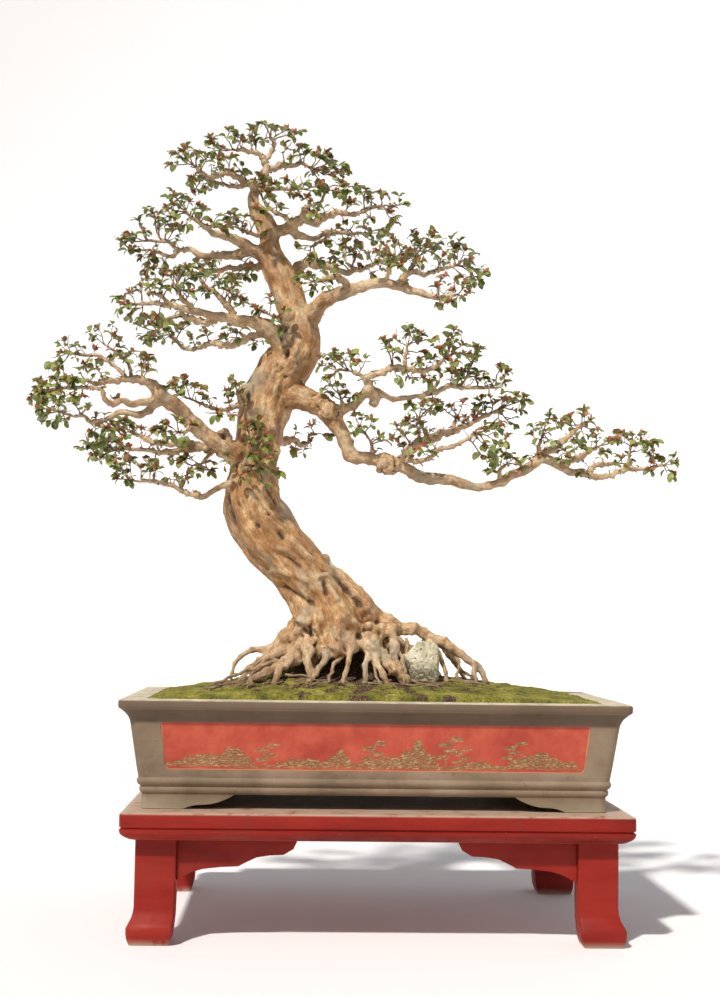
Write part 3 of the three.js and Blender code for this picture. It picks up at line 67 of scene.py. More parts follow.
SEED = 20
LEAF_LENGTH, LEAF_THICK = 21.0, 0.45
LEAF_SPACING = 6.5
LEAF_MARGIN, TWIG_MARGIN, SPRAY_MARGIN = 0.6, 3, 0.3  # how far inside the CAD model's box each of them stays
BARK_VOXEL = 3.15  # the size of the bark mesh's cells
BARK_SMOOTHING, BARK_SOFTENING = 7, 9  # passes that smooth it before the relief, and that find its hollows
WOOD_STEP = 5  # between the rows of the wood's paths
SWELLING_METRES = 0.00094  # how large a swelling is first made, in metres for each millimetre of its radius

POT_X = -5.0  # the middle of the pot
DEPTH_LESS = 205.0  # half the pot's length less half its depth, the same all the way up
MOUTH = 405.0  # half length of the pot's mouth
CROWN_X = -48.0  # the middle of the root crown
SOIL_EDGE = 413.0
SOIL_CROWN, SOIL_PEAK_Y = 35.0, 40.0
SOIL_FLOOR = 270.5
DRAIN_X, DRAIN_RADIUS = 200.0, 12.0
WALL_LOW, WALL_FOOT = 416.0, 280.0  # half length of the wall at its foot, and the foot's height
WALL_RUN, WALL_RISE = 15.0, 99.0  # how far the wall leans out over that height
PANEL_LOW, PANEL_HIGH, PANEL_DEEP = 293.0, 376.0, 3.0
PANEL_BOTTOM, PANEL_TOP = 369.0, 377.0  # half length of the front panel along its lower and upper edge
PANEL_CORNER, PANEL_CREST = 12.0, 4.0  # radius of a panel's lower and upper corners
BAND_HALF, FOOT_LENGTH = 411.0, 77.0  # half length over the feet, and the length of one

BOARD_HALF, BOARD_FRONT, BOARD_BACK = 445.0, -268.0, 330.0
BOARD_LOW, BOARD_TOP = 177.0, 224.0
LEG_X, LEG_Y, LEG_DEEP = -419.0, -237.0, 45.0  # outer side, front and depth of the front left leg
LEG_EDGE = 4.0  # radius of its upright edges

CAMERA_AT = (-138.0, -2848.0, 563.0)
CAMERA_YAW, CAMERA_PITCH, CAMERA_ROLL = 2.137, 4.563, 0.826
FOCAL_PIXELS, PICTURE_PIXELS, SENSOR = 1489, 996, 36  # the lens, solved for a picture this high

# Each route was read off the photograph, one point at each bend: [x, y, z, radius].
LIMBS = {
    "trunk": [[-69, 0, 490, 62.8], [-79, 0, 526, 64], [-92, 0, 562, 62], [-113, 0, 603, 58],
        [-151, -3, 657, 53], [-200, -7, 713, 57.5], [-228, -10, 752, 57.5], [-238, -10, 786, 55.3],
        [-236, -6, 836, 47.8], [-229, 0, 887, 45.1], [-223, 4, 938, 47.2], [-210, 6, 981, 50.2],
        [-186, 4, 1023, 50.2], [-159, 0, 1065, 44.4], [-152, 0, 1099, 38.7], [-153, 0, 1134, 32.9]],
    "leader": [[-153, 0, 1114, 32.9], [-163, 2, 1144, 32], [-173, 6, 1178, 31.1], [-187, 10, 1212, 30.2],
        [-204, 12, 1244, 28.2], [-212, 10, 1271, 22.4], [-212, 8, 1298, 20.5], [-222, 6, 1323, 20.5],
        [-240, 4, 1348, 17.1], [-247, 2, 1371, 12.9], [-241, 2, 1393, 11.3], [-228, 4, 1422, 10.1],
        [-223, 5, 1444, 8.2]],
    "right_top": [[-148, -4, 1102, 25.1], [-130, -12, 1136, 19.3], [-115, -20, 1162, 17.3],
        [-88, -28, 1176, 16.3], [-58, -36, 1185, 13.8], [-28, -44, 1196, 12.6], [6, -52, 1197, 11.4],
        [37, -58, 1190, 10.5], [61, -64, 1182, 9.5], [83, -70, 1171, 8.3], [106, -75, 1169, 6.4]],
    "right_back": [[-175, 14, 1199, 15.6], [-161, 36, 1235, 13.8], [-143, 54, 1257, 11.9],
        [-115, 76, 1259, 9.2], [-83, 94, 1258, 7.6], [-52, 108, 1252, 6.5]],
    "right_high": [[-205, 4, 1305, 12.6], [-187, -8, 1308, 11.6], [-173, -16, 1318, 12.8],
        [-164, -21, 1325, 11.2]],
    "right_high_low": [[-173, -14, 1315, 10.5], [-162, 0, 1301, 9.7], [-148, 14, 1299, 7.8],
        [-125, 28, 1303, 6.7], [-109, 37, 1316, 5.7]],
    "left_high": [[-213, 8, 1249, 17.5], [-239, 0, 1262, 13.6], [-258, -10, 1275, 12.8],
        [-275, -22, 1283, 10.8], [-297, -34, 1287, 9.6], [-320, -44, 1292, 7.6], [-338, -52, 1299, 5.9]],
    "left_high_back": [[-252, -4, 1270, 11.6], [-272, 14, 1266, 10.9], [-296, 32, 1264, 9.8],
        [-323, 48, 1266, 8.3], [-353, 62, 1272, 7.9], [-374, 72, 1284, 7.2], [-390, 80, 1282, 5.8]],
    "left_mid": [[-163, -4, 1070, 30.9], [-188, -18, 1085, 23], [-208, -28, 1104, 18.4],
        [-225, -36, 1115, 15.3], [-248, -46, 1123, 13.3], [-266, -56, 1116, 12.5], [-288, -66, 1120, 11.3],
        [-312, -76, 1123, 9.8], [-334, -86, 1128, 8.6], [-358, -94, 1131, 7.5], [-382, -102, 1133, 6.1]],
    "left_mid_bottom": [[-221, -32, 1109, 10.3], [-238, -20, 1099, 8.8], [-250, -11, 1095, 8.1]],
    "low_left": [[-247, -18, 862, 26.7], [-282, -44, 877, 19.8], [-317, -64, 893, 17.3],
        [-345, -80, 912, 16.4], [-370, -96, 939, 16], [-393, -108, 957, 15.2], [-413, -116, 971, 12.9],
        [-428, -122, 984, 10.7], [-442, -128, 990, 8.1]],
    "low_left_mid": [[-408, -110, 959, 10.3], [-428, -126, 948, 8.8], [-445, -136, 948, 7.7],
        [-459, -144, 943, 7.6], [-469, -150, 948, 6.5], [-481, -156, 943, 6.9], [-491, -160, 935, 6.2]],
    "low_left_low": [[-405, -104, 954, 10.4], [-424, -94, 947, 9.3], [-438, -84, 939, 8.6],
        [-453, -76, 931, 8.6], [-471, -66, 937, 7.1], [-489, -58, 940, 6.6], [-507, -50, 929, 6.8],
        [-522, -44, 924, 5.8]],
    "low_left_back": [[-259, 6, 841, 15.4], [-288, 26, 868, 10.8], [-308, 36, 880, 9.5]],
    "low_left_bottom": [[-257, -16, 804, 15.2], [-287, -42, 804, 9.1], [-301, -52, 799, 7.3],
        [-315, -60, 788, 7.1], [-328, -68, 780, 7.1], [-345, -78, 783, 6.1]],
    "low_right": [[-197, 0, 996, 38.5], [-166, -12, 985, 28.8], [-139, -20, 977, 23.9],
        [-112, -28, 963, 21.9], [-87, -36, 941, 20], [-71, -44, 916, 17.1], [-62, -52, 886, 16.1],
        [-50, -58, 863, 16], [-26, -62, 861, 13.6], [-1, -64, 856, 15.1], [21, -66, 852, 15.8],
        [44, -66, 847, 13.2], [69, -64, 832, 12.4], [97, -62, 824, 12.1], [126, -58, 825, 11.7],
        [155, -54, 816, 11.7], [184, -50, 813, 10.2], [213, -46, 818, 10.2], [238, -42, 828, 10.6],
        [263, -38, 840, 11], [291, -34, 855, 11.5], [316, -30, 869, 10.7], [332, -26, 866, 11.1],
        [351, -22, 853, 10], [376, -18, 846, 8.5], [400, -14, 847, 7.3]],
    "right_inner": [[-77, -38, 949, 12.2], [-61, -54, 957, 10.6], [-46, -68, 966, 9.8], [-34, -82, 978, 10.1],
        [-25, -92, 990, 10.8], [-18, -98, 996, 8.6]],
    "right_inner_low": [[-25, -91, 988, 10.1], [-8, -84, 985, 9.4], [8, -76, 981, 7.5], [33, -64, 976, 6.2],
        [62, -52, 982, 5.9], [86, -42, 986, 5.5]],
    "right_behind": [[33, -60, 855, 10.2], [53, -36, 875, 9.1], [68, -20, 887, 9]],
    "stub_inner": [[-17, -90, 986, 9.4], [-8, -84, 970, 10.5], [-15, -84, 957, 8.6]],
    "stub_left": [[-223, 4, 969, 23.1], [-253, -22, 980, 20.1], [-268, -38, 989, 11.4]],
    "shoulder": [[-105, -8, 677, 6], [-93, -8, 661, 11], [-80, -8, 646, 14.3], [-58, -6, 625, 18.1],
        [-35, -4, 603, 20], [-17, -2, 580, 19.1], [-2, 2, 557, 17.2]],
}

# The big surface roots, in the same way.
ROOTS = {
    "root_far_left": [[-146, -4, 546, 24.7], [-170, -12, 521, 16.1], [-198, -20, 506, 9.4],
        [-226, -26, 500, 7.5], [-247, -32, 490, 6], [-261, -38, 472, 5.2], [-271, -44, 435, 4.5]],
    "root_left_a": [[-150, -22, 525, 18.9], [-177, -36, 499, 13.1], [-201, -48, 484, 9.3],
        [-223, -58, 471, 7.4], [-244, -68, 456, 5.9], [-266, -78, 425, 4.4]],
    "root_left_b": [[-138, -40, 514, 16.9], [-164, -58, 488, 11.2], [-187, -72, 472, 9.3],
        [-211, -84, 459, 7.4], [-232, -94, 443, 5.9], [-246, -102, 409, 4.7]],
    "root_left_c": [[-130, -50, 500, 14.9], [-156, -76, 480, 9.2], [-172, -92, 469, 8.1],
        [-183, -104, 451, 7.3], [-193, -114, 410, 5.5]],
    "root_post": [[-124, -36, 544, 16.9], [-125, -66, 509, 11.2], [-125, -82, 473, 9.2],
        [-124, -92, 439, 8.5], [-125, -100, 399, 9.1]],
    "root_mid_a": [[-56, -30, 545, 18.9], [-49, -60, 516, 10.1], [-54, -76, 487, 7.4], [-58, -86, 459, 6.6],
        [-65, -96, 410, 5.5]],
    "root_mid_b": [[-37, -26, 534, 18.9], [-19, -54, 511, 11.2], [-4, -72, 487, 8.5], [10, -88, 464, 7.4],
        [27, -104, 405, 6.2]],
    "root_front_big": [[-25, -16, 531, 24.6], [-1, -44, 503, 15], [24, -66, 478, 13], [46, -84, 453, 12.2],
        [69, -100, 405, 10.3]],
    "root_right_in": [[17, -8, 539, 17.1], [36, -24, 518, 11.3], [41, -36, 491, 9.4], [44, -46, 469, 8.2],
        [59, -60, 421, 7.1]],
    "root_right_big": [[-60, 4, 570, 24.8], [-11, 6, 567, 23], [20, 6, 554, 19.1], [49, 8, 543, 15.3],
        [83, 8, 538, 13.8], [110, 6, 527, 12.2], [137, 2, 512, 10.7], [159, -4, 497, 9.5],
        [182, -10, 484, 8.8], [200, -16, 471, 8], [211, -24, 425, 6]],
    "root_right_toe": [[178, -8, 486, 7.6], [188, -24, 468, 6.1], [187, -36, 425, 4.9]],
    "root_right_b": [[119, 14, 521, 9.6], [142, 34, 498, 7.7], [161, 48, 474, 7], [190, 60, 428, 5.4]],
    "root_right_c": [[106, 4, 521, 9.6], [124, -10, 493, 6.8], [131, -22, 469, 6.1], [138, -32, 424, 5.3]],
    "root_back_left": [[-108, 20, 541, 26.9], [-142, 64, 513, 17.5], [-173, 104, 484, 11.8],
        [-209, 136, 459, 9.1], [-241, 160, 414, 6.8]],
    "root_back_mid": [[-73, 30, 529, 28.9], [-68, 78, 502, 17.6], [-54, 118, 477, 11.9], [-41, 150, 429, 8]],
    "root_back_right": [[-24, 20, 546, 28.8], [21, 64, 526, 17.6], [63, 104, 503, 11.9], [110, 134, 479, 9.6],
        [153, 158, 431, 6.8]],
    "root_far_left_low": [[-168, -14, 514, 11.9], [-194, -34, 492, 7.5], [-220, -38, 478, 5.9],
        [-240, -44, 462, 4.8], [-253, -50, 421, 4.2]],
    "root_left_low": [[-128, -44, 502, 14.1], [-160, -66, 472, 8.3], [-196, -84, 458, 6.6],
        [-226, -98, 446, 5.2], [-250, -106, 409, 4.3]],
    "root_front_low": [[-96, -38, 504, 14.2], [-98, -64, 476, 8.2], [-108, -84, 456, 6.2],
        [-122, -100, 444, 5.1], [-137, -112, 405, 4.4]],
    "root_mid_c": [[-12, -34, 522, 15.3], [-17, -60, 493, 8.4], [-22, -80, 464, 6.7], [-27, -95, 408, 5.7]],
}

# Swellings where old branches were cut: [x, y, z, radius].
UPPER_BURLS = [
    [13, -72, 850, 21.6], [-97, -44, 955, 18], [-292, -48, 900, 13.2], [-176, -34, 1038, 17.2],
    [-249, -22, 990, 13], [-250, -18, 968, 11], [-112, -40, 974, 12],
]

# Swellings of the root crown.
LOW_BURLS = [
    [-131, -46, 559, 15], [-79, -50, 545, 18.7], [-6, -22, 533, 18.9], [-110, -22, 524, 20],
    [-70, -26, 515, 23], [-30, -26, 516, 19], [6, -18, 522, 15],
]

# Smaller knobs, where the bark is lumpy.
KNOBS = [
    [-97, -12, 674, 11], [-168, -34, 522, 15], [-132, -50, 568, 11], [-109, -52, 560, 11],
    [-83, -48, 552, 12], [-49, -38, 546, 12], [-16, -30, 545, 12], [14, -20, 541, 11], [-142, -42, 538, 13],
    [-67, -48, 520, 14], [-158, -46, 500, 11], [34, -6, 540, 10], [60, 4, 541, 9], [-40, -52, 500, 10],
    [18, -8, 506, 12], [-8, -30, 512, 12], [-96, -56, 500, 11], [-24, -46, 524, 11], [-217, -30, 1005, 16],
    [-198, -34, 993, 17], [-208, -32, 1022, 14], [-222, -32, 951, 17], [-137, -34, 975, 18],
    [-241, -30, 941, 14], [-210, -32, 918, 15], [-181, -24, 978, 19], [-151, -22, 1025, 16],
    [-188, -26, 1066, 14], [-251, -14, 964, 15], [-226, -36, 881, 16], [-198, -18, 874, 15],
    [-167, -34, 1065, 16], [-144, -32, 1066, 14],
]

SWELLINGS = UPPER_BURLS + LOW_BURLS + KNOBS

# Thin roots over the soil, from the foot of the tree outwards: [x, y, z, radius].
THIN_ROOTS = [
    [[-142, -44, 503, 6], [-191, -66, 486, 4.6], [-222, -90, 467, 3.8], [-274, -104, 448, 3],
     [-296, -112, 438, 2]],
    [[-153, -60, 487, 5.5], [-204, -84, 472, 4.2], [-229, -96, 456, 3.6], [-226, -114, 432, 2.8]],
    [[-214, -70, 482, 2.8], [-236, -96, 456, 2], [-250, -110, 440, 1.4]],
    [[-168, -98, 456, 2.4], [-132, -98, 452, 2], [-104, -108, 446, 1.5]],
    [[-120, -20, 500, 8], [-150, 0, 482, 6], [-190, 6, 470, 4.4], [-226, -4, 456, 3.2]],
    [[-96, -30, 502, 7], [-108, -40, 480, 5], [-112, -56, 460, 4], [-124, -76, 446, 3]],
    [[-60, -40, 506, 7], [-72, -62, 478, 4.6], [-84, -84, 458, 3.6], [-88, -104, 440, 2.6]],
    [[-20, -40, 508, 6], [-8, -64, 480, 4.2], [-2, -88, 458, 3.2], [6, -112, 436, 2.2]],
    [[6, -30, 512, 6], [22, -56, 484, 4.4], [44, -82, 458, 3.6], [52, -112, 434, 2.4]],
    [[30, -16, 516, 6], [52, -44, 478, 4.4], [62, -80, 450, 3.2], [84, -100, 436, 2.2]],
    [[60, 4, 524, 5], [58, -18, 496, 3.8], [52, -34, 470, 3.2], [42, -56, 442, 2.6]],
    [[96, 4, 524, 5], [104, 10, 496, 3.6], [116, 6, 470, 3], [112, -10, 442, 2.2]],
    [[150, 0, 500, 4.4], [158, -6, 476, 3.4], [156, -20, 452, 2.6], [168, -34, 436, 2]],
    [[132, 10, 506, 4.6], [150, 18, 482, 3.6], [178, 16, 460, 3], [198, 4, 438, 2]],
    [[-90, 30, 505, 9], [-120, 46, 486, 7], [-166, 50, 468, 5], [-200, 40, 450, 3.6]],
    [[-40, 30, 505, 9], [-30, 48, 488, 7], [10, 56, 474, 5], [50, 48, 456, 3.6]],
]

# Ridges (plus) and hollows (minus) in the bark: from, to, reach, height.
MARKS = [
    [(-184, -42, 1092), (-178, -48, 1054), 6, -15], [(-200, -44, 1060), (-204, -46, 1016), 7, 5],
    [(-236, -48, 1004), (-252, -40, 958), 6, -12], [(-238, -52, 1002), (-226, -56, 940), 8, 5],
    [(-292, -64, 902), (-290, -64, 896), 6, -10], [(-99, -66, 960), (-92, -68, 950), 6, -6],
    [(-286, -37, 785), (-276, -36, 734), 10, -12], [(-296, 0, 776), (-289, 0, 744), 5, 5],
    [(-242, -64, 793), (-176, -57, 725), 9, 6], [(-263, -58, 771), (-224, -65, 728), 6, -6],
    [(-229, -64, 784), (-204, -63, 752), 5, -6], [(-204, -63, 752), (-172, -55, 727), 5, -5],
    [(-205, -51, 802), (-192, -48, 776), 5, -7], [(-224, -55, 694), (-205, -54, 676), 14, 5],
    [(-176, -33, 615), (-123, -56, 587), 9, -6.5], [(-195, -41, 647), (-135, -56, 632), 9, 5],
    [(-110, -52, 636), (-95, -43, 641), 6, 7], [(-95, -43, 641), (-76, -52, 596), 7, 7],
    [(-97, -52, 623), (-93, -55, 607), 5, -8], [(-132, -48, 679), (-82, -21, 651), 5, 4],
    [(-76, -26, 639), (-28, -21, 584), 7, -7], [(-183, -61, 719), (-175, -60, 708), 3.5, -6],
    [(-160, -55, 705), (-122, -46, 668), 7, 4], [(-144, -54, 621), (-132, -54, 600), 8, 5],
    [(-59, -31, 609), (-45, -31, 587), 5, -6], [(-167, -59, 675), (-144, -55, 656), 6, -4],
    [(-143, -58, 556), (-140, -60, 550), 13, 7], [(-106, -60, 570), (-104, -62, 562), 12, 7],
    [(-59, -62, 556), (-55, -62, 548), 13, 6], [(-12, -48, 545), (-8, -48, 538), 12, 5],
    [(-124, -60, 540), (-120, -56, 520), 6, -9], [(-82, -62, 545), (-80, -52, 512), 7, -10],
    [(-34, -56, 548), (-30, -48, 515), 7, -9],
]

# Places where the bark is grey: [x, y, z, size].
GREY_SPOTS = [
    [-190, -30, 1110, 30], [-95, 60, 900, 60], [-240, -30, 1010, 30],
]

# The leafy sprays: the routes of their thin stems, and where each shoot ends.
SPRAYS = {
    "crown": ([
        [[-225, 5, 1438, 7.4], [-233, 0, 1456, 6.2], [-254, -10, 1462, 5.1], [-283, -18, 1461, 3.5]],
        [[-227, 4, 1450, 5.9], [-214, 8, 1469, 4.7], [-210, 8, 1485, 4.1], [-216, 6, 1495, 3.5]],
    ], [
        [-331, -26, 1471], [-326, -2, 1465], [-301, -40, 1479], [-282, 8, 1497], [-257, 0, 1508],
        [-250, 22, 1497], [-232, -8, 1523], [-215, 10, 1522], [-187, -14, 1505], [-167, 16, 1507],
        [-234, 24, 1496]
    ]),
    "top_left": ([
        [[-237, 0, 1396, 9], [-253, -10, 1397, 8.1], [-268, -18, 1396, 7.4], [-279, -24, 1406, 6.6],
         [-294, -30, 1412, 6], [-309, -36, 1406, 5.6], [-326, -42, 1399, 4.8], [-343, -50, 1404, 4],
         [-356, -58, 1413, 3.2]],
        [[-268, -16, 1395, 6.2], [-282, 8, 1396, 4.9], [-303, 28, 1405, 3.7]],
    ], [
        [-403, -64, 1414], [-392, -86, 1429], [-378, -50, 1450], [-353, -34, 1448], [-363, -76, 1381],
        [-357, -48, 1371], [-336, -30, 1381], [-334, -80, 1426], [-318, -10, 1449], [-288, -50, 1435],
        [-322, 44, 1411], [-345, 60, 1428], [-314, 66, 1450], [-272, 30, 1432]
    ]),
    "top_right": ([
        [[-226, 4, 1426, 8.6], [-207, 12, 1437, 7.6], [-192, 18, 1445, 6.5], [-176, 24, 1445, 5.3],
         [-159, 28, 1453, 4.7], [-141, 30, 1446, 3.7]],
    ], [
        [-190, 4, 1479], [-161, 22, 1485], [-172, -16, 1451], [-151, 50, 1476], [-125, -10, 1456],
        [-108, 22, 1473], [-93, 48, 1463], [-78, 8, 1445], [-64, 28, 1435], [-92, -8, 1416], [-118, 44, 1425],
        [-134, 70, 1444]
    ]),
    "leader_right": ([
        [[-241, 0, 1390, 6.2], [-219, -22, 1385, 4.8], [-190, -38, 1381, 4.2], [-159, -50, 1378, 3.6]],
    ], [
        [-203, -74, 1379], [-148, -74, 1381], [-130, -46, 1376], [-115, -60, 1380], [-180, -84, 1383],
        [-166, -66, 1361]
    ]),
    "right_high_low": ([
        [[-113, 36, 1312, 5.5], [-89, 50, 1324, 4.6], [-61, 60, 1321, 4], [-33, 68, 1326, 3.2]],
        [[-97, 45, 1319, 4.3], [-112, 20, 1296, 3.8], [-130, 6, 1282, 3.1]],
    ], [
        [-82, 30, 1325], [-48, 46, 1342], [-26, 92, 1341], [1, 64, 1330], [16, 88, 1332], [-16, 44, 1304],
        [-42, 76, 1308], [-71, 54, 1299], [-159, -8, 1279], [-138, -18, 1256], [-118, 10, 1255],
        [-101, -6, 1287]
    ]),
    "right_back_end": ([
        [[-61, 104, 1253, 6.4], [-30, 120, 1265, 5.1], [-3, 128, 1278, 4.1]],
        [[-44, 114, 1259, 5], [-60, 104, 1272, 3.6]],
    ], [
        [-90, 84, 1286], [-63, 106, 1288], [-95, 116, 1273], [-43, 112, 1288], [-17, 142, 1302],
        [-33, 94, 1300], [10, 156, 1289], [-9, 132, 1256], [-71, 120, 1308]
    ]),
    "right_top_left": ([
        [[6, -52, 1197, 6.1], [13, -56, 1219, 4.6], [22, -60, 1238, 3.6]],
    ], [
        [3, -64, 1271], [25, -40, 1286], [16, -96, 1240], [42, -70, 1261], [-5, -80, 1232], [33, -110, 1218],
        [-7, -30, 1264], [49, -30, 1255]
    ]),
    "right_top_up": ([
        [[29, -55, 1195, 7.6], [45, -34, 1217, 6.2], [68, -10, 1233, 5.6], [89, 8, 1228, 5.1],
         [108, 24, 1242, 4.5], [131, 34, 1251, 4.1], [151, 44, 1258, 3.4]],
        [[56, -20, 1227, 4.6], [66, -6, 1252, 3.5]],
    ], [
        [68, -6, 1303], [76, -30, 1283], [63, 34, 1283], [72, -40, 1244], [45, 20, 1269], [103, 14, 1313],
        [101, 40, 1294], [114, 10, 1291], [143, 44, 1310], [123, -4, 1265], [149, 66, 1293], [169, 30, 1287],
        [185, 58, 1282], [183, 26, 1248], [210, 48, 1246], [203, 72, 1235], [175, 36, 1224]
    ]),
    "right_top_end": ([
        [[98, -73, 1169, 6.1], [122, -82, 1170, 4.7], [141, -88, 1171, 3.4]],
    ], [
        [114, -60, 1207], [104, -94, 1182], [140, -76, 1200], [154, -104, 1186], [156, -70, 1171],
        [129, -112, 1152], [111, -84, 1154]
    ]),
    "right_top_inner": ([
        [[-62, -36, 1185, 8.8], [-72, -56, 1202, 7.4], [-95, -74, 1203, 6.1], [-118, -90, 1191, 4.7]],
    ], [
        [-148, -98, 1183], [-154, -80, 1198], [-129, -108, 1168], [-103, -110, 1177], [-139, -122, 1194],
        [-112, -60, 1215], [-87, -100, 1216]
    ]),
    "left_high_near": ([
        [[-226, 6, 1301, 6.6], [-243, -10, 1297, 4.8], [-258, -16, 1301, 3.9], [-273, -20, 1305, 3.1]],
    ], [
        [-291, -34, 1330], [-299, -10, 1319], [-263, -40, 1323], [-240, -44, 1315], [-281, 14, 1330]
    ]),
    "left_high_end": ([
        [[-333, -50, 1296, 5.7], [-351, -60, 1308, 4.4], [-365, -64, 1316, 3.4]],
        [[-338, -52, 1299, 4.4], [-316, -70, 1297, 3.4]],
    ], [
        [-406, -72, 1348], [-396, -42, 1359], [-404, -94, 1322], [-379, -60, 1342], [-348, -88, 1329],
        [-341, -50, 1330], [-395, -104, 1303], [-370, -84, 1292], [-321, -96, 1297], [-302, -84, 1286],
        [-293, -56, 1301]
    ]),
    "left_high_back": ([
        [[-382, 76, 1283, 6], [-402, 78, 1289, 4.6], [-414, 76, 1299, 4], [-434, 72, 1301, 3.6],
         [-453, 68, 1300, 3.2]],
        [[-394, 78, 1287, 4.8], [-411, 92, 1276, 4.2], [-436, 100, 1284, 3.8], [-453, 106, 1291, 3.2]],
    ], [
        [-450, 60, 1356], [-439, 88, 1360], [-474, 50, 1335], [-426, 104, 1346], [-493, 72, 1312],
        [-512, 54, 1295], [-500, 88, 1285], [-461, 30, 1306], [-408, 50, 1316], [-473, 114, 1278],
        [-481, 92, 1285], [-470, 124, 1250], [-459, 100, 1265], [-432, 126, 1270], [-432, 92, 1247]
    ]),
    "left_high_low": ([
        [[-225, 16, 1242, 9], [-253, 34, 1246, 6.3], [-277, 50, 1245, 5.7], [-297, 62, 1249, 5.7],
         [-316, 72, 1245, 5], [-336, 80, 1243, 4.4], [-354, 86, 1252, 3.6]],
    ], [
        [-361, 92, 1265], [-375, 70, 1248], [-399, 98, 1245], [-341, 60, 1258], [-324, 96, 1271],
        [-350, 112, 1242], [-270, 22, 1255], [-278, 30, 1226], [-258, 18, 1220], [-296, 44, 1221]
    ]),
    "left_mid_end": ([
        [[-373, -98, 1132, 6.2], [-403, -108, 1135, 5], [-427, -112, 1136, 4.3], [-451, -112, 1135, 3.5]],
        [[-391, -104, 1134, 4.6], [-406, -116, 1146, 3.9], [-426, -124, 1154, 3.3]],
    ], [
        [-488, -126, 1142], [-470, -98, 1158], [-433, -132, 1176], [-451, -90, 1174], [-423, -156, 1158],
        [-486, -92, 1127], [-471, -130, 1129], [-466, -104, 1114], [-448, -84, 1116], [-415, -118, 1112],
        [-405, -120, 1187], [-391, -150, 1158]
    ]),
    "left_mid_top": ([
        [[-353, -92, 1132, 5.6], [-371, -98, 1149, 4.7], [-380, -102, 1167, 3.7]],
    ], [
        [-405, -86, 1204], [-383, -80, 1204], [-359, -100, 1210], [-365, -132, 1172], [-346, -126, 1187],
        [-356, -134, 1155]
    ]),
    "left_mid_upper": ([
        [[-273, -60, 1117, 8.3], [-281, -62, 1134, 7], [-297, -66, 1152, 6.2], [-316, -68, 1172, 5.1],
         [-331, -70, 1181, 4.2], [-342, -74, 1193, 3.4]],
        [[-289, -64, 1145, 4.5], [-284, -52, 1163, 3.4]],
    ], [
        [-345, -60, 1212], [-323, -88, 1210], [-304, -50, 1200], [-286, -74, 1200], [-275, -94, 1179],
        [-319, -98, 1162], [-334, -50, 1172], [-264, -70, 1150], [-270, -34, 1171], [-290, -24, 1181]
    ]),
    "left_mid_low": ([
        [[-309, -72, 1120, 8.3], [-332, -58, 1113, 7.2], [-358, -42, 1123, 6.3], [-380, -30, 1131, 5.2],
         [-398, -20, 1128, 4.2], [-414, -12, 1118, 3.5], [-425, -6, 1107, 3.1]],
    ], [
        [-466, -8, 1116], [-458, 12, 1098], [-445, -16, 1084], [-436, -34, 1111], [-443, 10, 1133],
        [-412, -50, 1114], [-398, 24, 1122], [-435, 34, 1107]
    ]),
    "trunk_tuft": ([
        [[-168, -20, 1114, 5.8], [-189, -40, 1125, 3.8], [-210, -46, 1133, 3]],
    ], [
        [-237, -52, 1145], [-224, -32, 1140], [-208, -58, 1154], [-183, -64, 1138], [-196, -72, 1122],
        [-188, -56, 1107]
    ]),
    "low_left_up": ([
        [[-435, -124, 989, 7.7], [-456, -132, 991, 7.1], [-472, -138, 990, 6.4], [-487, -144, 985, 6],
         [-506, -150, 982, 5.1], [-522, -154, 979, 4.2], [-538, -158, 984, 3.4]],
        [[-468, -136, 990, 4.8], [-482, -132, 1007, 3.8], [-499, -126, 1021, 3.7], [-523, -120, 1036, 3.5],
         [-549, -114, 1037, 3.1], [-570, -108, 1041, 2.8]],
        [[-456, -132, 991, 4.2], [-468, -126, 1025, 3.1], [-486, -120, 1041, 2.8], [-507, -116, 1054, 2.4]],
    ], [
        [-524, -122, 1085], [-535, -106, 1071], [-497, -112, 1076], [-588, -102, 1063], [-586, -124, 1038],
        [-611, -92, 1026], [-596, -114, 1010], [-544, -142, 1016], [-520, -96, 1030], [-499, -92, 1038],
        [-459, -104, 1046], [-432, -124, 1034], [-428, -144, 1007], [-474, -156, 1024], [-445, -104, 1018],
        [-549, -156, 1000], [-514, -176, 999], [-556, -180, 978], [-575, -148, 990]
    ]),
    "low_left_far": ([
        [[-486, -158, 939, 6], [-502, -164, 949, 4.9], [-507, -168, 964, 4.2], [-524, -172, 967, 3.8],
         [-549, -174, 966, 3.6], [-574, -176, 966, 3.1]],
    ], [
        [-632, -178, 946], [-621, -172, 980], [-604, -200, 967], [-626, -150, 965], [-591, -184, 980],
        [-592, -214, 950], [-567, -206, 974], [-556, -196, 947], [-545, -150, 955], [-610, -140, 950]
    ]),
    "low_left_low": ([
        [[-516, -46, 926, 5.7], [-542, -38, 923, 4.5], [-558, -32, 935, 3.8], [-582, -26, 935, 3],
         [-602, -20, 943, 2.7]],
        [[-532, -41, 923, 4.3], [-518, -54, 913, 3.9], [-503, -60, 909, 3.4]],
    ], [
        [-653, -10, 961], [-637, -34, 946], [-641, 0, 935], [-620, -46, 937], [-613, -18, 926],
        [-599, 12, 932], [-617, 22, 966], [-572, -54, 954], [-554, -10, 959], [-537, -70, 900],
        [-516, -54, 887], [-506, -90, 902], [-490, -44, 910], [-479, -92, 919]
    ]),
    "low_left_bottom": ([
        [[-336, -74, 781, 6.3], [-353, -80, 786, 5.4], [-371, -86, 794, 5], [-387, -90, 801, 4.6],
         [-409, -96, 806, 4.2], [-429, -102, 807, 3.7], [-447, -106, 806, 2.9]],
        [[-366, -84, 791, 4.1], [-372, -78, 808, 3]],
    ], [
        [-490, -114, 838], [-465, -96, 844], [-480, -132, 811], [-461, -112, 805], [-480, -88, 826],
        [-438, -122, 829], [-425, -96, 841], [-409, -140, 831], [-399, -66, 814], [-375, -94, 816],
        [-361, -60, 814], [-354, -80, 825]
    ]),
    "low_left_over": ([
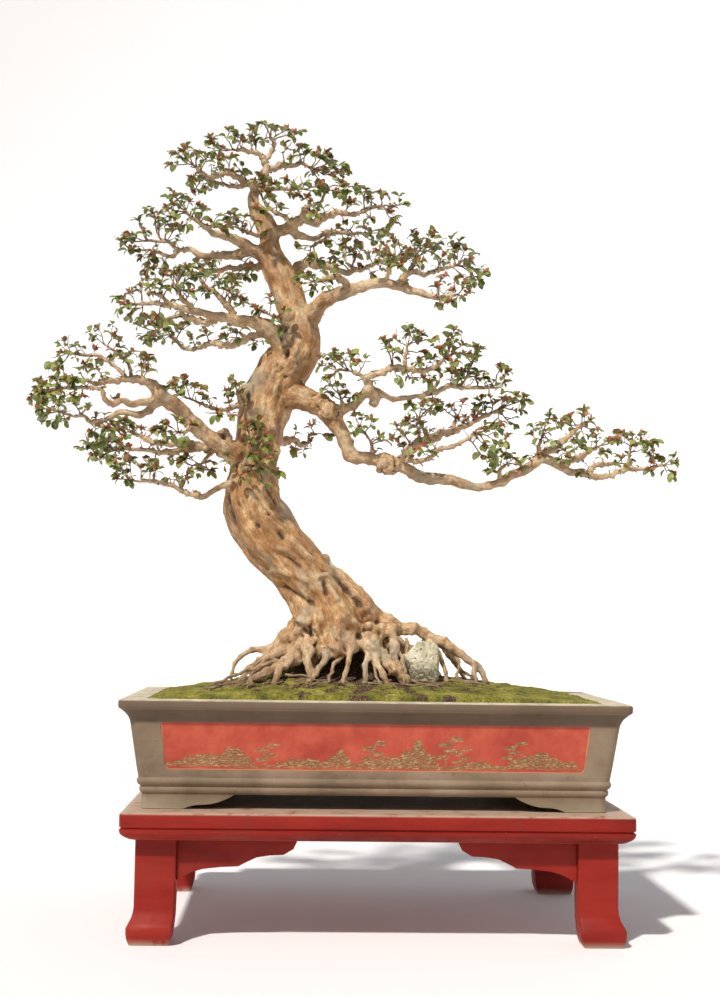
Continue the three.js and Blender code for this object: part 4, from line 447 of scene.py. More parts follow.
        [[-260, -30, 964, 6.9], [-280, -48, 951, 4.7], [-304, -58, 949, 4.1], [-326, -64, 954, 3.4],
         [-347, -68, 962, 2.8]],
        [[-264, -34, 965, 4.4], [-269, -50, 985, 3.4]],
    ], [
        [-406, -74, 988], [-386, -94, 986], [-369, -62, 1004], [-377, -48, 976], [-346, -88, 984],
        [-324, -42, 974], [-304, -80, 935], [-275, -68, 935], [-281, -54, 1005], [-270, -70, 994],
        [-285, -38, 983]
    ]),
    "low_left_inner": ([
        [[-350, -84, 917, 5.6], [-357, -104, 901, 4.1], [-369, -114, 897, 3.3]],
    ], [
        [-393, -118, 909], [-388, -106, 889], [-373, -136, 915], [-360, -130, 881], [-403, -92, 901]
    ]),
    "trunk_front": ([
        [[-261, -30, 826, 6.4], [-253, -58, 844, 4.9], [-243, -70, 862, 3.9], [-238, -76, 876, 3.2]],
        [[-255, -54, 839, 4.5], [-230, -68, 836, 3.6]],
    ], [
        [-250, -76, 916], [-226, -64, 914], [-212, -86, 895], [-247, -94, 885], [-216, -58, 879],
        [-237, -104, 858], [-204, -84, 852], [-248, -84, 819], [-218, -96, 843], [-191, -64, 830],
        [-210, -90, 808], [-286, -80, 847]
    ]),
    "back": ([
        [[-203, 26, 902, 10.5], [-180, 54, 904, 7.8], [-161, 84, 908, 6.7], [-145, 108, 901, 4.8],
         [-131, 118, 911, 3.6], [-131, 120, 925, 3.2], [-115, 124, 928, 2.6]],
    ], [
        [-97, 128, 925], [-161, 96, 893], [-157, 74, 927], [-143, 140, 891], [-128, 140, 946]
    ]),
    "right_inner_up": ([
        [[-21, -95, 993, 9.3], [-29, -102, 1003, 7.3], [-13, -108, 1012, 7.4], [3, -112, 1019, 7.2],
         [22, -116, 1024, 6.7], [44, -120, 1024, 6.5], [66, -122, 1020, 6.1], [88, -124, 1021, 5.2],
         [103, -128, 1031, 4.4], [117, -132, 1042, 3.7]],
        [[-29, -102, 1003, 5.4], [-39, -110, 1011, 4.1], [-54, -114, 1016, 3.2]],
        [[44, -120, 1026, 4.8], [44, -118, 1045, 3.7], [47, -116, 1061, 3]],
    ], [
        [-112, -124, 1024], [-93, -102, 1043], [-83, -128, 1052], [-58, -92, 1053], [-29, -120, 1039],
        [-81, -136, 1011], [4, -122, 1074], [24, -100, 1082], [18, -142, 1055], [46, -110, 1086],
        [55, -128, 1094], [73, -96, 1089], [66, -140, 1034], [30, -142, 1000], [58, -104, 1006],
        [78, -110, 1055], [96, -130, 1078], [123, -122, 1084], [132, -142, 1091], [151, -124, 1069],
        [105, -162, 1053], [162, -110, 1055], [87, -144, 997], [132, -152, 1032]
    ]),
    "right_inner_low": ([
        [[76, -46, 983, 5.7], [109, -34, 995, 5.5], [131, -28, 1005, 5.2], [157, -20, 1006, 4.6],
         [183, -12, 1006, 4.1], [209, -6, 1008, 3.5], [233, 0, 1009, 2.7]],
        [[94, -40, 990, 4.6], [116, -24, 1016, 3.5]],
    ], [
        [186, -12, 1090], [180, -34, 1061], [166, 12, 1043], [193, 24, 1043], [234, -4, 1049],
        [252, 16, 1041], [241, -26, 1015], [220, 26, 1029], [155, -52, 1019], [119, -6, 1037],
        [139, -38, 1030], [92, -56, 1009]
    ]),
    "right_inner_tuft": ([
        [[-64, -52, 951, 5.7], [-71, -64, 968, 3.8]],
    ], [
        [-98, -64, 1008], [-81, -86, 995], [-93, -46, 984], [-64, -76, 980], [-49, -96, 972]
    ]),
    "right_elbow_tuft": ([
        [[-13, -66, 865, 5.3], [-16, -80, 890, 3], [-31, -88, 909, 2.4]],
    ], [
        [-47, -94, 938], [-36, -104, 914], [-12, -82, 925], [-51, -116, 903], [1, -74, 902], [19, -92, 894]
    ]),
    "right_front": ([
        [[44, -68, 851, 6.8], [46, -92, 867, 4.7], [54, -102, 881, 3.5]],
        [[44, -84, 860, 5.6], [72, -96, 854, 5.4], [97, -106, 863, 4.8], [113, -112, 875, 4.8],
         [135, -118, 882, 4.4], [154, -124, 891, 4.1], [172, -128, 901, 3.5]],
    ], [
        [31, -104, 916], [43, -124, 900], [72, -92, 897], [36, -88, 888], [92, -112, 890], [65, -128, 871],
        [92, -136, 867], [185, -110, 912], [187, -142, 882], [209, -130, 869], [192, -118, 859],
        [224, -146, 883], [217, -126, 915]
    ]),
    "right_under_tuft": ([
        [[232, -42, 826, 6.5], [230, -58, 842, 4], [239, -66, 852, 3]],
    ], [
        [243, -72, 869], [209, -62, 841], [217, -86, 854], [252, -92, 861], [267, -52, 854]
    ]),
    "right_front_end": ([
        [[350, -24, 855, 7.7], [366, -44, 865, 6.3], [379, -58, 869, 5.5], [393, -72, 877, 4.7],
         [408, -84, 886, 3.8]],
    ], [
        [350, -70, 881], [367, -56, 898], [338, -92, 861], [381, -94, 884], [409, -78, 905], [425, -102, 897],
        [446, -84, 902], [416, -108, 874]
    ]),
    "right_end": ([
        [[390, -16, 847, 7.5], [417, -10, 838, 6.7], [441, -6, 839, 6.2], [465, 0, 848, 5.6],
         [488, 4, 856, 5], [512, 6, 857, 4.3], [534, 8, 859, 3.5], [558, 10, 866, 2.7]],
        [[407, -12, 844, 5.8], [420, 8, 861, 5.6], [445, 24, 867, 5.1], [469, 36, 869, 3.9]],
        [[479, 2, 854, 4.3], [490, 6, 876, 3.1], [494, 6, 900, 2.5]],
    ], [
        [477, -2, 924], [472, 14, 912], [496, 6, 923], [513, -6, 908], [539, 16, 909], [513, -14, 892],
        [537, 24, 885], [527, -10, 852], [554, 34, 878], [565, 10, 850], [580, 6, 882], [584, -10, 868],
        [577, 2, 844], [487, 54, 885], [499, 40, 874], [441, 44, 885]
    ]),
    "right_high_end": ([
        [[-170, -18, 1322, 11.2], [-149, -28, 1326, 8.9], [-133, -34, 1317, 8.8], [-118, -40, 1323, 9.6],
         [-99, -46, 1330, 7.7], [-78, -52, 1333, 5.9], [-55, -58, 1328, 4.8], [-30, -60, 1337, 4],
         [-4, -58, 1346, 3.2]],
        [[-158, -24, 1328, 5.4], [-149, -34, 1342, 4], [-134, -40, 1350, 3.6], [-115, -44, 1357, 3.3],
         [-105, -44, 1385, 2.5]],
        [[-158, -24, 1326, 5.4], [-175, -36, 1319, 5], [-189, -40, 1327, 4.6], [-202, -40, 1335, 4.2],
         [-216, -38, 1345, 3.8], [-228, -36, 1361, 3.1]],
    ], [
        [-82, -40, 1375], [-68, -72, 1372], [-50, -50, 1385], [-40, -88, 1362], [-56, -20, 1364],
        [-24, -70, 1362], [3, -34, 1375], [43, -50, 1352], [16, -24, 1343], [22, -46, 1319], [-22, -84, 1314],
        [-113, -64, 1340], [-137, -62, 1332], [-145, -24, 1370], [-130, -78, 1322], [-200, -56, 1346],
        [-220, -52, 1370], [-230, -54, 1398], [-245, -48, 1388], [-229, -60, 1332]
    ]),
    "low_left_back": ([
        [[-300, 32, 876, 9.7], [-320, 42, 884, 8.8], [-344, 54, 889, 8.6], [-374, 68, 896, 7.7],
         [-405, 82, 899, 6.9], [-430, 92, 898, 6.1], [-450, 100, 906, 5.4], [-471, 106, 917, 4.4],
         [-491, 110, 927, 3.6]],
        [[-346, 55, 889, 7.8], [-367, 46, 884, 6.8], [-385, 38, 881, 6.4], [-404, 32, 876, 6.2],
         [-423, 28, 873, 5.4], [-444, 24, 878, 4.4], [-468, 20, 879, 3.7], [-491, 16, 878, 3.1]],
        [[-318, 41, 882, 5.4], [-326, 26, 867, 4.3], [-337, 20, 854, 3.3]],
    ], [
        [-507, 114, 905], [-529, 124, 922], [-490, 96, 939], [-518, 132, 941], [-476, 134, 934],
        [-492, 84, 910], [-444, 112, 922], [-563, 12, 878], [-561, 34, 893], [-538, -2, 881], [-527, 18, 866],
        [-518, 38, 865], [-497, 2, 888], [-517, 54, 882], [-542, -10, 863], [-482, 40, 869], [-428, 6, 853],
        [-378, 10, 853], [-398, 56, 865], [-361, 6, 866], [-344, 44, 851], [-353, 14, 838], [-318, -4, 854],
        [-326, 40, 841], [-317, 60, 904]
    ]),
    "left_mid_bottom": ([
        [[-240, -17, 1098, 8.4], [-256, -6, 1091, 7.5], [-276, 10, 1084, 7.4], [-304, 26, 1089, 6.8],
         [-332, 42, 1091, 6.1], [-350, 54, 1087, 5.1], [-369, 64, 1082, 4.3], [-389, 72, 1093, 4],
         [-406, 78, 1110, 3.6]],
        [[-254, -8, 1093, 5.4], [-267, -20, 1102, 3.6]],
    ], [
        [-426, 88, 1107], [-451, 98, 1113], [-366, 52, 1104], [-396, 92, 1131], [-378, 66, 1134],
        [-414, 60, 1120], [-400, 108, 1106], [-336, 30, 1110], [-294, -26, 1097], [-276, -40, 1087],
        [-287, -6, 1112], [-261, -34, 1109], [-240, -34, 1077]
    ]),
    "right_end_up": ([
        [[299, -30, 859, 9.6], [322, -8, 881, 8.5], [343, 12, 893, 7.8], [359, 30, 908, 6.7],
         [373, 42, 919, 6.1], [394, 56, 935, 4.9], [405, 64, 948, 3.8]],
        [[313, -17, 872, 6.1], [305, -38, 887, 4.6], [310, -46, 904, 3.4]],
    ], [
        [382, 60, 963], [416, 82, 977], [422, 50, 957], [431, 74, 936], [392, 92, 948], [418, 92, 930],
        [396, 60, 914], [326, -50, 949], [316, -30, 934], [347, -60, 933], [313, -74, 917], [291, -44, 913],
        [281, -60, 869], [327, -80, 898]
    ]),
    "right_behind": ([
        [[61, -27, 882, 9], [74, -14, 891, 8.8], [99, 8, 908, 8.9], [124, 28, 921, 8.2], [149, 44, 929, 7.1],
         [171, 56, 939, 6.1], [198, 68, 953, 5.1], [221, 78, 965, 4.4], [244, 86, 978, 3.8]],
        [[149, 44, 929, 4.9], [157, 54, 952, 3.7]],
        [[99, 8, 908, 5.8], [92, 20, 929, 4.5], [84, 28, 945, 3.5]],
    ], [
        [128, 60, 976], [146, 38, 975], [172, 70, 989], [192, 48, 980], [177, 92, 962], [212, 82, 1001],
        [206, 102, 978], [231, 60, 986], [261, 92, 999], [278, 70, 1001], [300, 86, 997], [293, 104, 980],
        [276, 82, 948], [252, 112, 958], [67, 32, 975], [58, 42, 943], [84, 10, 970], [118, 38, 983],
        [102, 58, 969], [79, 64, 938]
    ]),
}

# Heaps in the soil: height, then middle and reach along x, middle and reach along y.
HEAPS = [(42, -15, 105, 38, 42), (17, -112, 66, 20, 48), (25, 16, 56, 36, 42), (8, -190, 110, -30, 90)]

ROCK_HALF, ROCK_AT = (37, 26, 43), (88, -34, 478)

# The pot's outside from the feet up: height, half length, and how far it bows out on its way to the next.
POT_PROFILE = [
    (250, 409.5, 0), (252, 411, 0), (253, 412.2, 1.6), (263.5, 412.2, 0), (265, 413.5, 0), (266, 415.2, 2.6),
    (279, 415.6, 0), (281, 416, 0), (300, 419.2, 0), (340, 425.2, 0), (372, 430, 0), (378, 431.2, -2.6),
    (398.5, 446.5, 0), (400, 448.6, 0), (402, 449.6, 0), (404.5, 450, 0), (410, 450, 0), (412.6, 449.3, 0),
    (414.2, 447.8, 0), (415, 445.5, 0),
]

# Its inside from the rim down: height, half length, radius of the corners.
POT_INSIDE = [
    (415, 407, 12), (414.2, 405.3, 10), (412, 404.8, 10), (270, 394, 10),
]

# The band that the feet are cut from: half length, height.
FOOT_BAND = [
    (409.6, 224.3), (410.8, 225.6), (410.6, 230), (409.4, 250.4), (385, 250.4), (385, 224.3),
]

# The edge of the opening between two feet: distance in from the foot, height.
FOOT_GAP = [
    (0, 223.0), (0, 225.6), (6, 227.8), (13, 230), (23, 231.8), (33, 232.2), (42, 232.8), (52, 234.5),
    (61, 237), (70, 240.5), (78, 244.2), (84, 247.4), (88, 251),
]

# The panels' landscape. Hills: middle, reach, height of the top and of the foot.
HILLS = [
    (-296, 74, 34, 9), (-250, 40, 52, 11), (-128, 70, 26, 7), (-66, 34, 40, 9), (34, 96, 32, 8),
    (70, 42, 60, 12), (178, 60, 24, 7), (286, 66, 44, 10), (330, 34, 28, 9),
]

# Trees: middle, height, size of the crown.
PINES = [
    (-196, 44, 9), (-10, 50, 10), (120, 58, 11), (148, 40, 8), (236, 52, 9),
]

# River banks: height, left and right end.
BANKS = [
    (7, -372, -150), (12, -170, 26), (5.5, -60, 200), (9, 120, 372), (16, -30, 66),
]

# A leg's outline at each height: how far it flares out, reaches in and juts forward.
LEG_LEVELS = [
    (0, 6, 62, 12), (6, 8.4, 64.2, 15), (12, 10, 66, 17), (20, 11, 67.2, 18), (29, 11, 68, 18),
    (36, 7.6, 68.8, 12.5), (44, 3.4, 69.5, 6), (52, 1.2, 69.8, 2.2), (62, 0, 70, 0), (84, 0, 70.6, 0),
    (110, 0, 71, 0), (140, 0, 71, 0), (176.7, 0, 71, 0),
]

board_low, board_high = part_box("stand_board")
BOARD_Y = (BOARD_FRONT + BOARD_BACK) / 2000
SHIFT = np.array([(board_low.x + board_high.x) / 2, (board_low.y + board_high.y) / 2 - BOARD_Y, 0.0])
size_at_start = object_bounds()
ROOM = [(np.array(corner) - SHIFT) * 1000 for corner in size_at_start]  # the CAD model's box in these axes


# Noise over arrays of points

# The sixteen directions that the noise may rise in.
SLOPES = np.array([[1, 1, 0], [-1, 1, 0], [1, -1, 0], [-1, -1, 0], [1, 0, 1], [-1, 0, 1], [1, 0, -1],
                   [-1, 0, -1], [0, 1, 1], [0, -1, 1], [0, 1, -1], [0, -1, -1], [1, 1, 0], [-1, 1, 0],
                   [0, -1, 1], [0, -1, -1]], float)


def perlin(points, seed=0):
    """Smooth noise from about -1 to 1 at each of these points, with one bump about every unit."""
    cell = np.floor(points).astype(np.int64)
    local = points - cell
    ease = local ** 3 * (local * (local * 6 - 15) + 10)
    total = 0.0
    for step in product((0, 1), repeat=3):
        x, y, z = (cell + step).T
        mixed = x * 73856093 ^ y * 19349663 ^ z * 83492791 ^ (seed * 2654435761)
        mixed = ((mixed ^ (mixed >> 13)) * 1274126177) & 0xFFFFFFFF
        slope = SLOPES[(mixed ^ (mixed >> 15)) & 15]
        total = total + ((local - step) * slope).sum(1) * np.where(step, ease, 1 - ease).prod(1)
    return total


def layered(points, octaves, seed):
    """Noise with finer and weaker noise over it."""
    return sum(perlin(points * 2 ** k, seed + k) / 2 ** k for k in range(octaves))


def clamp01(values):
    return np.clip(values, 0.0, 1.0)


def ease_between(low, high, values):
    t = clamp01((np.asarray(values, float) - low) / (high - low))
    return t * t * (3 - 2 * t)


# Vectors, routes and faces

def unit_of(v):
    return v / max(np.linalg.norm(v), 1e-9)


def random_vector(rng, *spans):
    return np.array([rng.uniform(low, high) for low, high in spans])


def random_way(rng, *middles):
    return unit_of(np.array([rng.gauss(middle, 1) for middle in middles]))


def distances(path):
    """How far along the path each of its rows lies."""
    return np.concatenate([[0], np.cumsum(np.linalg.norm(np.diff(path[:, :3], axis=0), axis=1))])


def smooth_route(route, step):
    """The route's points joined by a smooth curve, about step apart: rows of x, y, z, radius."""
    p = np.array(route, float)
    padded = np.vstack([2 * p[0] - p[1], p, 2 * p[-1] - p[-2]])
    rows = []
    for i in range(1, len(padded) - 2):
        a, b, c, d = padded[i - 1:i + 3]
        count = max(1, int(round(np.linalg.norm(c[:3] - b[:3]) / step)))
        for t in np.arange(count) / count:
            rows.append(0.5 * (2 * b + (c - a) * t + (2 * a - 5 * b + 4 * c - d) * t ** 2
                               + (3 * b - a - 3 * c + d) * t ** 3))
    rows.append(p[-1])
    rows = np.array(rows)
    rows[:, 3] = np.maximum(rows[:, 3], 0.3)
    return rows


def gnarled(path, rng, gap, swell, kick):
    """The path with a knot about every gap: fatter by up to swell there, and bent by up to kick radii."""
    along = distances(path)
    knots, at = [0.0], rng.uniform(0.4, 1.0) * gap
    while at < along[-1]:
        knots.append(at)
        at += gap * rng.uniform(0.6, 1.5)
    knots.append(max(along[-1], knots[-1] + 1e-3))
    size = np.interp(along, knots, [rng.uniform(0, 1) for _ in knots])
    near = along * 0 + 99
    if len(knots) > 2:
        near = np.min(np.abs(along[:, None] - np.array(knots)[None, 1:-1]), axis=1)
    made = path.copy()
    made[:, 3] *= 1 + swell * (0.35 + 0.65 * size) * np.exp(-(near / (0.22 * gap)) ** 2) - 0.35 * swell
    for axis in range(3):
        bend = [0.0, *(rng.uniform(-1, 1) for _ in knots[1:-1]), 0.0]
        made[:, axis] += np.interp(along, knots, bend) * kick * np.minimum(path[:, 3], 9)
    return made


def frames_along(path):
    """For each row, the unit heading and two unit vectors across it that turn as little as they can."""
    heading = np.gradient(path[:, :3], axis=0)
    heading /= np.maximum(np.linalg.norm(heading, axis=1), 1e-9)[:, None]
    side = np.cross(heading[0], [0.0, 1.0, 0.0] if abs(heading[0][1]) < 0.8 else [1.0, 0.0, 0.0])
    sides = []
    for h in heading:
        side = side - h * side.dot(h)
        side = side / np.linalg.norm(side)
        sides.append(side)
    sides = np.array(sides)
    return heading, sides, np.cross(heading, sides)


def ring_faces(rings, sides, capped=True):
    """The faces between rings of points, each ring with the same number of sides, and over both ends."""
    faces = []
    for r in range(rings - 1):
        for k in range(sides):
            a, b = r * sides + k, r * sides + (k + 1) % sides
            faces.append([a, b, b + sides, a + sides])
    if capped:
        faces.append(list(range(sides))[::-1])
        faces.append([(rings - 1) * sides + k for k in range(sides)])
    return faces


def grid_faces(rows, columns):
    return [[r * columns + c, r * columns + c + 1, (r + 1) * columns + c + 1, (r + 1) * columns + c]
            for r in range(rows - 1) for c in range(columns - 1)]


# Meshes and pieces

def in_metres(points):
    return np.asarray(points, float) * 0.001 + SHIFT


def mesh_numbers(items, key, width, kind=float):
    flat = np.empty(len(items) * width, kind)
    items.foreach_get(key, flat)
    return flat.reshape(-1, width)


def mesh_points(mesh):
    return (mesh_numbers(mesh.vertices, "co", 3) - SHIFT) * 1000


def place_points(mesh, points):
    mesh.vertices.foreach_set("co", in_metres(points).ravel())


def set_attributes(mesh, **attributes):
    """Attributes of the mesh's points that the materials read: numbers or vectors, or one number for all."""
    for key, values in attributes.items():
        values = np.asarray(values, np.float32)
        if values.ndim == 0:
            values = np.full(len(mesh.vertices), values)
        form, field = ("FLOAT", "value") if values.ndim == 1 else ("FLOAT_VECTOR", "vector")
        mesh.attributes.new(key, form, "POINT").data.foreach_set(field, values.ravel())


def shade_smooth(mesh, sharp_from=None):
    """Smooth shading, but sharp at edges that bend by this many degrees or more."""
    mesh.polygons.foreach_set("use_smooth", [True] * len(mesh.polygons))
    if sharp_from:
        mesh.set_sharp_from_angle(angle=math.radians(sharp_from))


def edit_mesh(mesh, change):
    """Lets change work on the mesh's editable form."""
    edited = bmesh.new()
    edited.from_mesh(mesh)
    change(edited)
    edited.to_mesh(mesh)
    edited.free()


def add_object(name, data):
    made = bpy.data.objects.new(name, data)
    bpy.context.scene.collection.objects.link(made)
    return made


def build_mesh(name, points, faces, materials, kinds=None, **attributes):
    """One object from millimetre points, with its materials and its point attributes."""
    mesh = bpy.data.meshes.new(name)
    mesh.from_pydata(in_metres(points), [], faces)
    for material in materials:
        mesh.materials.append(material)
    if kinds is not None:
        mesh.polygons.foreach_set("material_index", np.asarray(kinds, np.int32))
    set_attributes(mesh, **attributes)
    shade_smooth(mesh)
    mesh.update()
    return add_object(name, mesh)


def finish_piece(piece, slot, *nodes):
    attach(piece, "root")
    if nodes:
        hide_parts(*nodes)


def modified(piece, kind, **settings):
    """Puts the piece's mesh, changed by one modifier, in place of the one that it had."""
    modifier = piece.modifiers.new("change", kind)
    for key, value in settings.items():
        setattr(modifier, key, value)
    graph = bpy.context.evaluated_depsgraph_get()
    made = bpy.data.meshes.new_from_object(piece.evaluated_get(graph), depsgraph=graph)
    old = piece.data
    piece.modifiers.clear()
    piece.data = made
    bpy.data.meshes.remove(old)
    return piece


def neighbour_mean(values, edges):
    """Each point's values averaged over the points that its edges reach."""
    flat = values.reshape(len(values), -1)
    degree = np.bincount(edges.ravel(), minlength=len(values))
    total = np.stack([np.bincount(edges[:, 0], column[edges[:, 1]], len(values))
                      + np.bincount(edges[:, 1], column[edges[:, 0]], len(values)) for column in flat.T], 1)
    return (total / np.maximum(degree, 1)[:, None]).reshape(values.shape)


def point_normals(points, polygons):
    """Normals of a mesh of quads, from its points in millimetres."""
    a, b, c, d = (points[polygons[:, k]] for k in range(4))
    face = np.cross(c - a, d - b)
    total = np.zeros_like(points)
    for k, axis in product(range(4), range(3)):
        total[:, axis] += np.bincount(polygons[:, k], face[:, axis], len(points))
    return total / np.maximum(np.linalg.norm(total, axis=1), 1e-9)[:, None]


class Wood:
    """Tubes gathered for one mesh, each point with its place in the bark's grain, and their leaves."""

    def __init__(self, number=0, rng=None):
        self.number, self.rng = number, rng
        self.points, self.faces, self.grain, self.leaves = [], [], [], []
        self.count = 0

    def seed(self, step):
        return self.number * step + len(self.points)

    def tube(self, path, sides, lumps=0.0, seed=0):
        """A closed tube along the rows of path."""
        _, side, other = frames_along(path)
        along = distances(path)
        angle = np.arange(sides) * 2 * math.pi / sides
        radius = np.repeat(path[:, 3:4], sides, axis=1)
        if lumps:
            around = np.stack([np.tile(np.cos(angle), len(path)), np.tile(np.sin(angle), len(path)),
                               np.repeat(along / 7.0, sides)], 1)
            radius = radius * (1 + lumps * perlin(around + seed * 7.31, seed).reshape(radius.shape))
        ring = path[:, None, :3] + radius[:, :, None] * (side[:, None] * np.cos(angle)[None, :, None]
                                                        + other[:, None] * np.sin(angle)[None, :, None])
        grain = np.stack([radius * np.cos(angle), radius * np.sin(angle), np.repeat(along[:, None], sides, 1)
                          + 40.0 * (seed % 97)], 2)
        self.faces += [[i + self.count for i in face] for face in ring_faces(len(path), sides)]
        self.points.append(ring.reshape(-1, 3))
        self.grain.append(grain.reshape(-1, 3))
        self.count += ring.shape[0] * sides


# Materials

def linear(colour):
    """An 8-bit colour as the shader's linear numbers."""
    shares = (c / 12.92 if c <= 0.04045 else ((c + 0.055) / 1.055) ** 2.4 for c in (v / 255 for v in colour))
    return (*shares, 1.0)


class Shader:
    """A material's node tree, with short calls to add and join nodes. Colours are given as 8-bit numbers, and
    base is the colour so far."""

    def __init__(self, name, **settings):
        self.material = bpy.data.materials.new(name)
        self.material.use_nodes = True
        self.tree = self.material.node_tree
        self.surface = self.tree.nodes["Principled BSDF"].inputs
        for key, value in settings.items():
            self.surface[key.replace("_", " ")].default_value = value
        self.base = self.normal = None

    def join(self, socket, value):
        if isinstance(value, bpy.types.NodeSocket):
            self.tree.links.new(value, socket)
        elif value is not None:
            socket.default_value = value

    def node(self, kind, inputs=None, **settings):
        made = self.tree.nodes.new("ShaderNode" + kind)
        for key, value in settings.items():
            setattr(made, key, value)
        for key, value in (inputs or {}).items():
            self.join(made.inputs[key], value)
        return made

    def place(self):
        return self.node("TexCoord").outputs["Object"]

    def height(self):
        return self.split(self.place())[2]

    def vector(self, name):
        return self.node("Attribute", attribute_name=name).outputs["Vector"]

    def value(self, name):
        return self.node("Attribute", attribute_name=name).outputs["Fac"]

    def split(self, vector):
        return self.node("SeparateXYZ", {"Vector": vector}).outputs

    def noise(self, scale, detail=3.0, roughness=0.55, distortion=0.0, vector=None):
        if vector is None:
            vector = self.place()
        return self.node("TexNoise", {"Vector": vector, "Scale": scale, "Detail": detail,
                                      "Roughness": roughness, "Distortion": distortion}).outputs["Fac"]

    def streaks(self, vector, scale, detail=3.0, roughness=0.6, distortion=0.0):
        """Noise with a scale of its own along each axis."""
        stretched = self.node("Mapping", {"Vector": vector, "Scale": scale}).outputs["Vector"]
        return self.noise(1.0, detail, roughness, distortion, stretched)

    def span(self, value, low, high, to_low=0.0, to_high=1.0):
        return self.node("MapRange", {"Value": value, "From Min": low, "From Max": high, "To Min": to_low,
                                      "To Max": to_high}, interpolation_type="SMOOTHSTEP").outputs["Result"]

    def math(self, operation, a, b=None):
        return self.node("Math", {0: a, 1: b}, operation=operation).outputs[0]

    def times(self, a, b):
        return self.math("MULTIPLY", a, b)

    def ramp(self, factor, *stops):
        """A colour ramp; each stop is its position, red, green and blue."""
        made = self.node("ValToRGB", {"Fac": factor})
        points = made.color_ramp.elements
        while len(points) < len(stops):
            points.new(0.5)
        for element, (position, *colour) in zip(points, stops):
            element.position = position
            element.color = linear(colour)
        return made.outputs["Color"]

    def mix(self, factor, a, b):
        a, b = (linear(colour) if isinstance(colour, tuple) else colour for colour in (a, b))
        return self.node("Mix", {0: factor, 6: a, 7: b}, data_type="RGBA").outputs[2]

    def cover(self, colour, share):
        self.base = self.mix(share, self.base, colour)

    def tint(self, colour, value, low, high, share_low=0.0, share_high=1.0):
        """Covers the base by share_low where value is low, easing to share_high where it is high."""
        self.cover(colour, self.span(value, low, high, share_low, share_high))

    def roughness(self, socket):
        self.join(self.surface["Roughness"], socket)

    def bump(self, height, strength, distance):
        """One more layer of relief over those so far."""
        made = self.node("Bump", {"Height": height, "Strength": strength, "Distance": distance,
                                  "Normal": self.normal})
        self.normal = made.outputs["Normal"]
        self.join(self.surface["Normal"], self.normal)

    def done(self):
        self.join(self.surface["Base Color"], self.base)
        return self.material


def bark_material():
    s = Shader("bark", Roughness=0.6)
    grain = s.vector("grain")
    fine = s.streaks(grain, (0.55, 0.55, 0.13))
    blend = s.math("ADD", s.times(s.streaks(grain, (0.10, 0.10, 0.022), 4.0, 0.6, 0.6), 0.45),
                   s.times(s.noise(30.0, 4.0, 0.6), 0.55))
    s.base = s.ramp(blend, (0.34, 132, 88, 48), (0.45, 172, 124, 74), (0.54, 208, 164, 112),
                    (0.64, 243, 216, 174))
    # Cream where the pale attribute is high: a painted highlight on the trunk's raised lumps, and the lighter
    # bark of thinner limbs, twigs and rootlets.
    s.cover((234, 212, 176), s.times(s.value("pale"), s.span(s.noise(70.0), 0.36, 0.58, 0.35, 1.0)))
    s.tint((176, 164, 138), s.noise(15.0, 3.0, 0.6), 0.55, 0.70, 0.0, 0.4)
    s.tint((142, 98, 58), s.noise(10.0, 4.0, 0.6), 0.40, 0.60, 0.34, 0.0)
    s.tint((122, 80, 46), s.noise(90.0, 3.0, 0.6), 0.56, 0.72, 0.0, 0.55)
    s.tint((108, 72, 42), fine, 0.30, 0.58, 0.5, 0.0)
    flecks = s.span(s.noise(130.0, 3.0, 0.65), 0.44, 0.60, 0.95, 0.1)
    s.cover((84, 62, 44), s.times(s.value("thin"), flecks))
    # Painted shade in the bark's sunken places and deep hollows.
    s.tint((66, 42, 25), s.value("hollow"), 0.08, 0.8, 0.0, 0.88)
    s.cover((150, 144, 126), s.value("grey"))
    s.tint((86, 68, 46), s.height(), 0.435, 0.475, 0.45, 0.0)  # damp near the soil
    s.roughness(s.span(blend, 0.3, 0.7, 0.5, 0.72))
    s.bump(s.streaks(grain, (0.16, 0.16, 0.06)), 0.6, 0.005)
    s.bump(fine, 0.5, 0.0014)
    s.bump(s.noise(380.0, 3.0, 0.6), 0.4, 0.0007)
    return s.done()


def leaf_material(name, dark, middle, light, vein):
    s = Shader(name, Roughness=0.42)
    along, across, tone = s.split(s.vector("leaf"))
    across = s.math("ABSOLUTE", across)
    veins = s.math("SINE", s.times(s.math("SUBTRACT", along, s.times(across, 0.22)), 44.0))
    s.base = s.ramp(tone, (0.0, *dark), (0.5, *middle), (1.0, *light))
    s.tint(vein, across, 0.10, 0.03, 0.0, 0.8)
    s.tint(vein, veins, 0.75, 1.0, 0.0, 0.35)
    s.tint((150, 110, 60), across, 0.86, 1.0, 0.0, 0.5)  # the edge
    s.tint(dark, s.noise(160.0, 2.0), 0.35, 0.7, 0.3, 0.0)
    s.bump(veins, 0.25, 0.0005)
    return s.done()


def bud_material():
    s = Shader("bud", Roughness=0.45)
    tone = s.split(s.vector("leaf"))[2]
    s.base = s.ramp(tone, (0.0, 186, 84, 68), (0.3, 198, 122, 90), (0.65, 178, 130, 90), (1.0, 150, 124, 74))
    return s.done()


def soil_material():
    s = Shader("moss_and_soil", Roughness=0.95)
    tuft = s.noise(240.0, 4.0, 0.7)
    green = s.ramp(s.noise(26.0), (0.3, 94, 96, 30), (0.5, 156, 150, 52), (0.7, 196, 186, 84))
    green = s.mix(s.span(tuft, 0.3, 0.62, 0.75, 0.0), green, (58, 62, 22))
    grit = s.node("TexVoronoi", {"Vector": s.place(), "Scale": 330.0}).outputs["Distance"]
    s.base = s.ramp(grit, (0.0, 150, 116, 80), (0.35, 100, 70, 46), (0.7, 52, 36, 24))
    s.tint((178, 158, 128), s.noise(520.0, 2.0), 0.58, 0.66)
    s.cover(green, s.value("moss"))
    s.bump(s.math("ADD", tuft, s.noise(700.0, 2.0)), 1.0, 0.003)
    s.bump(grit, 0.4, 0.0015)
    return s.done()


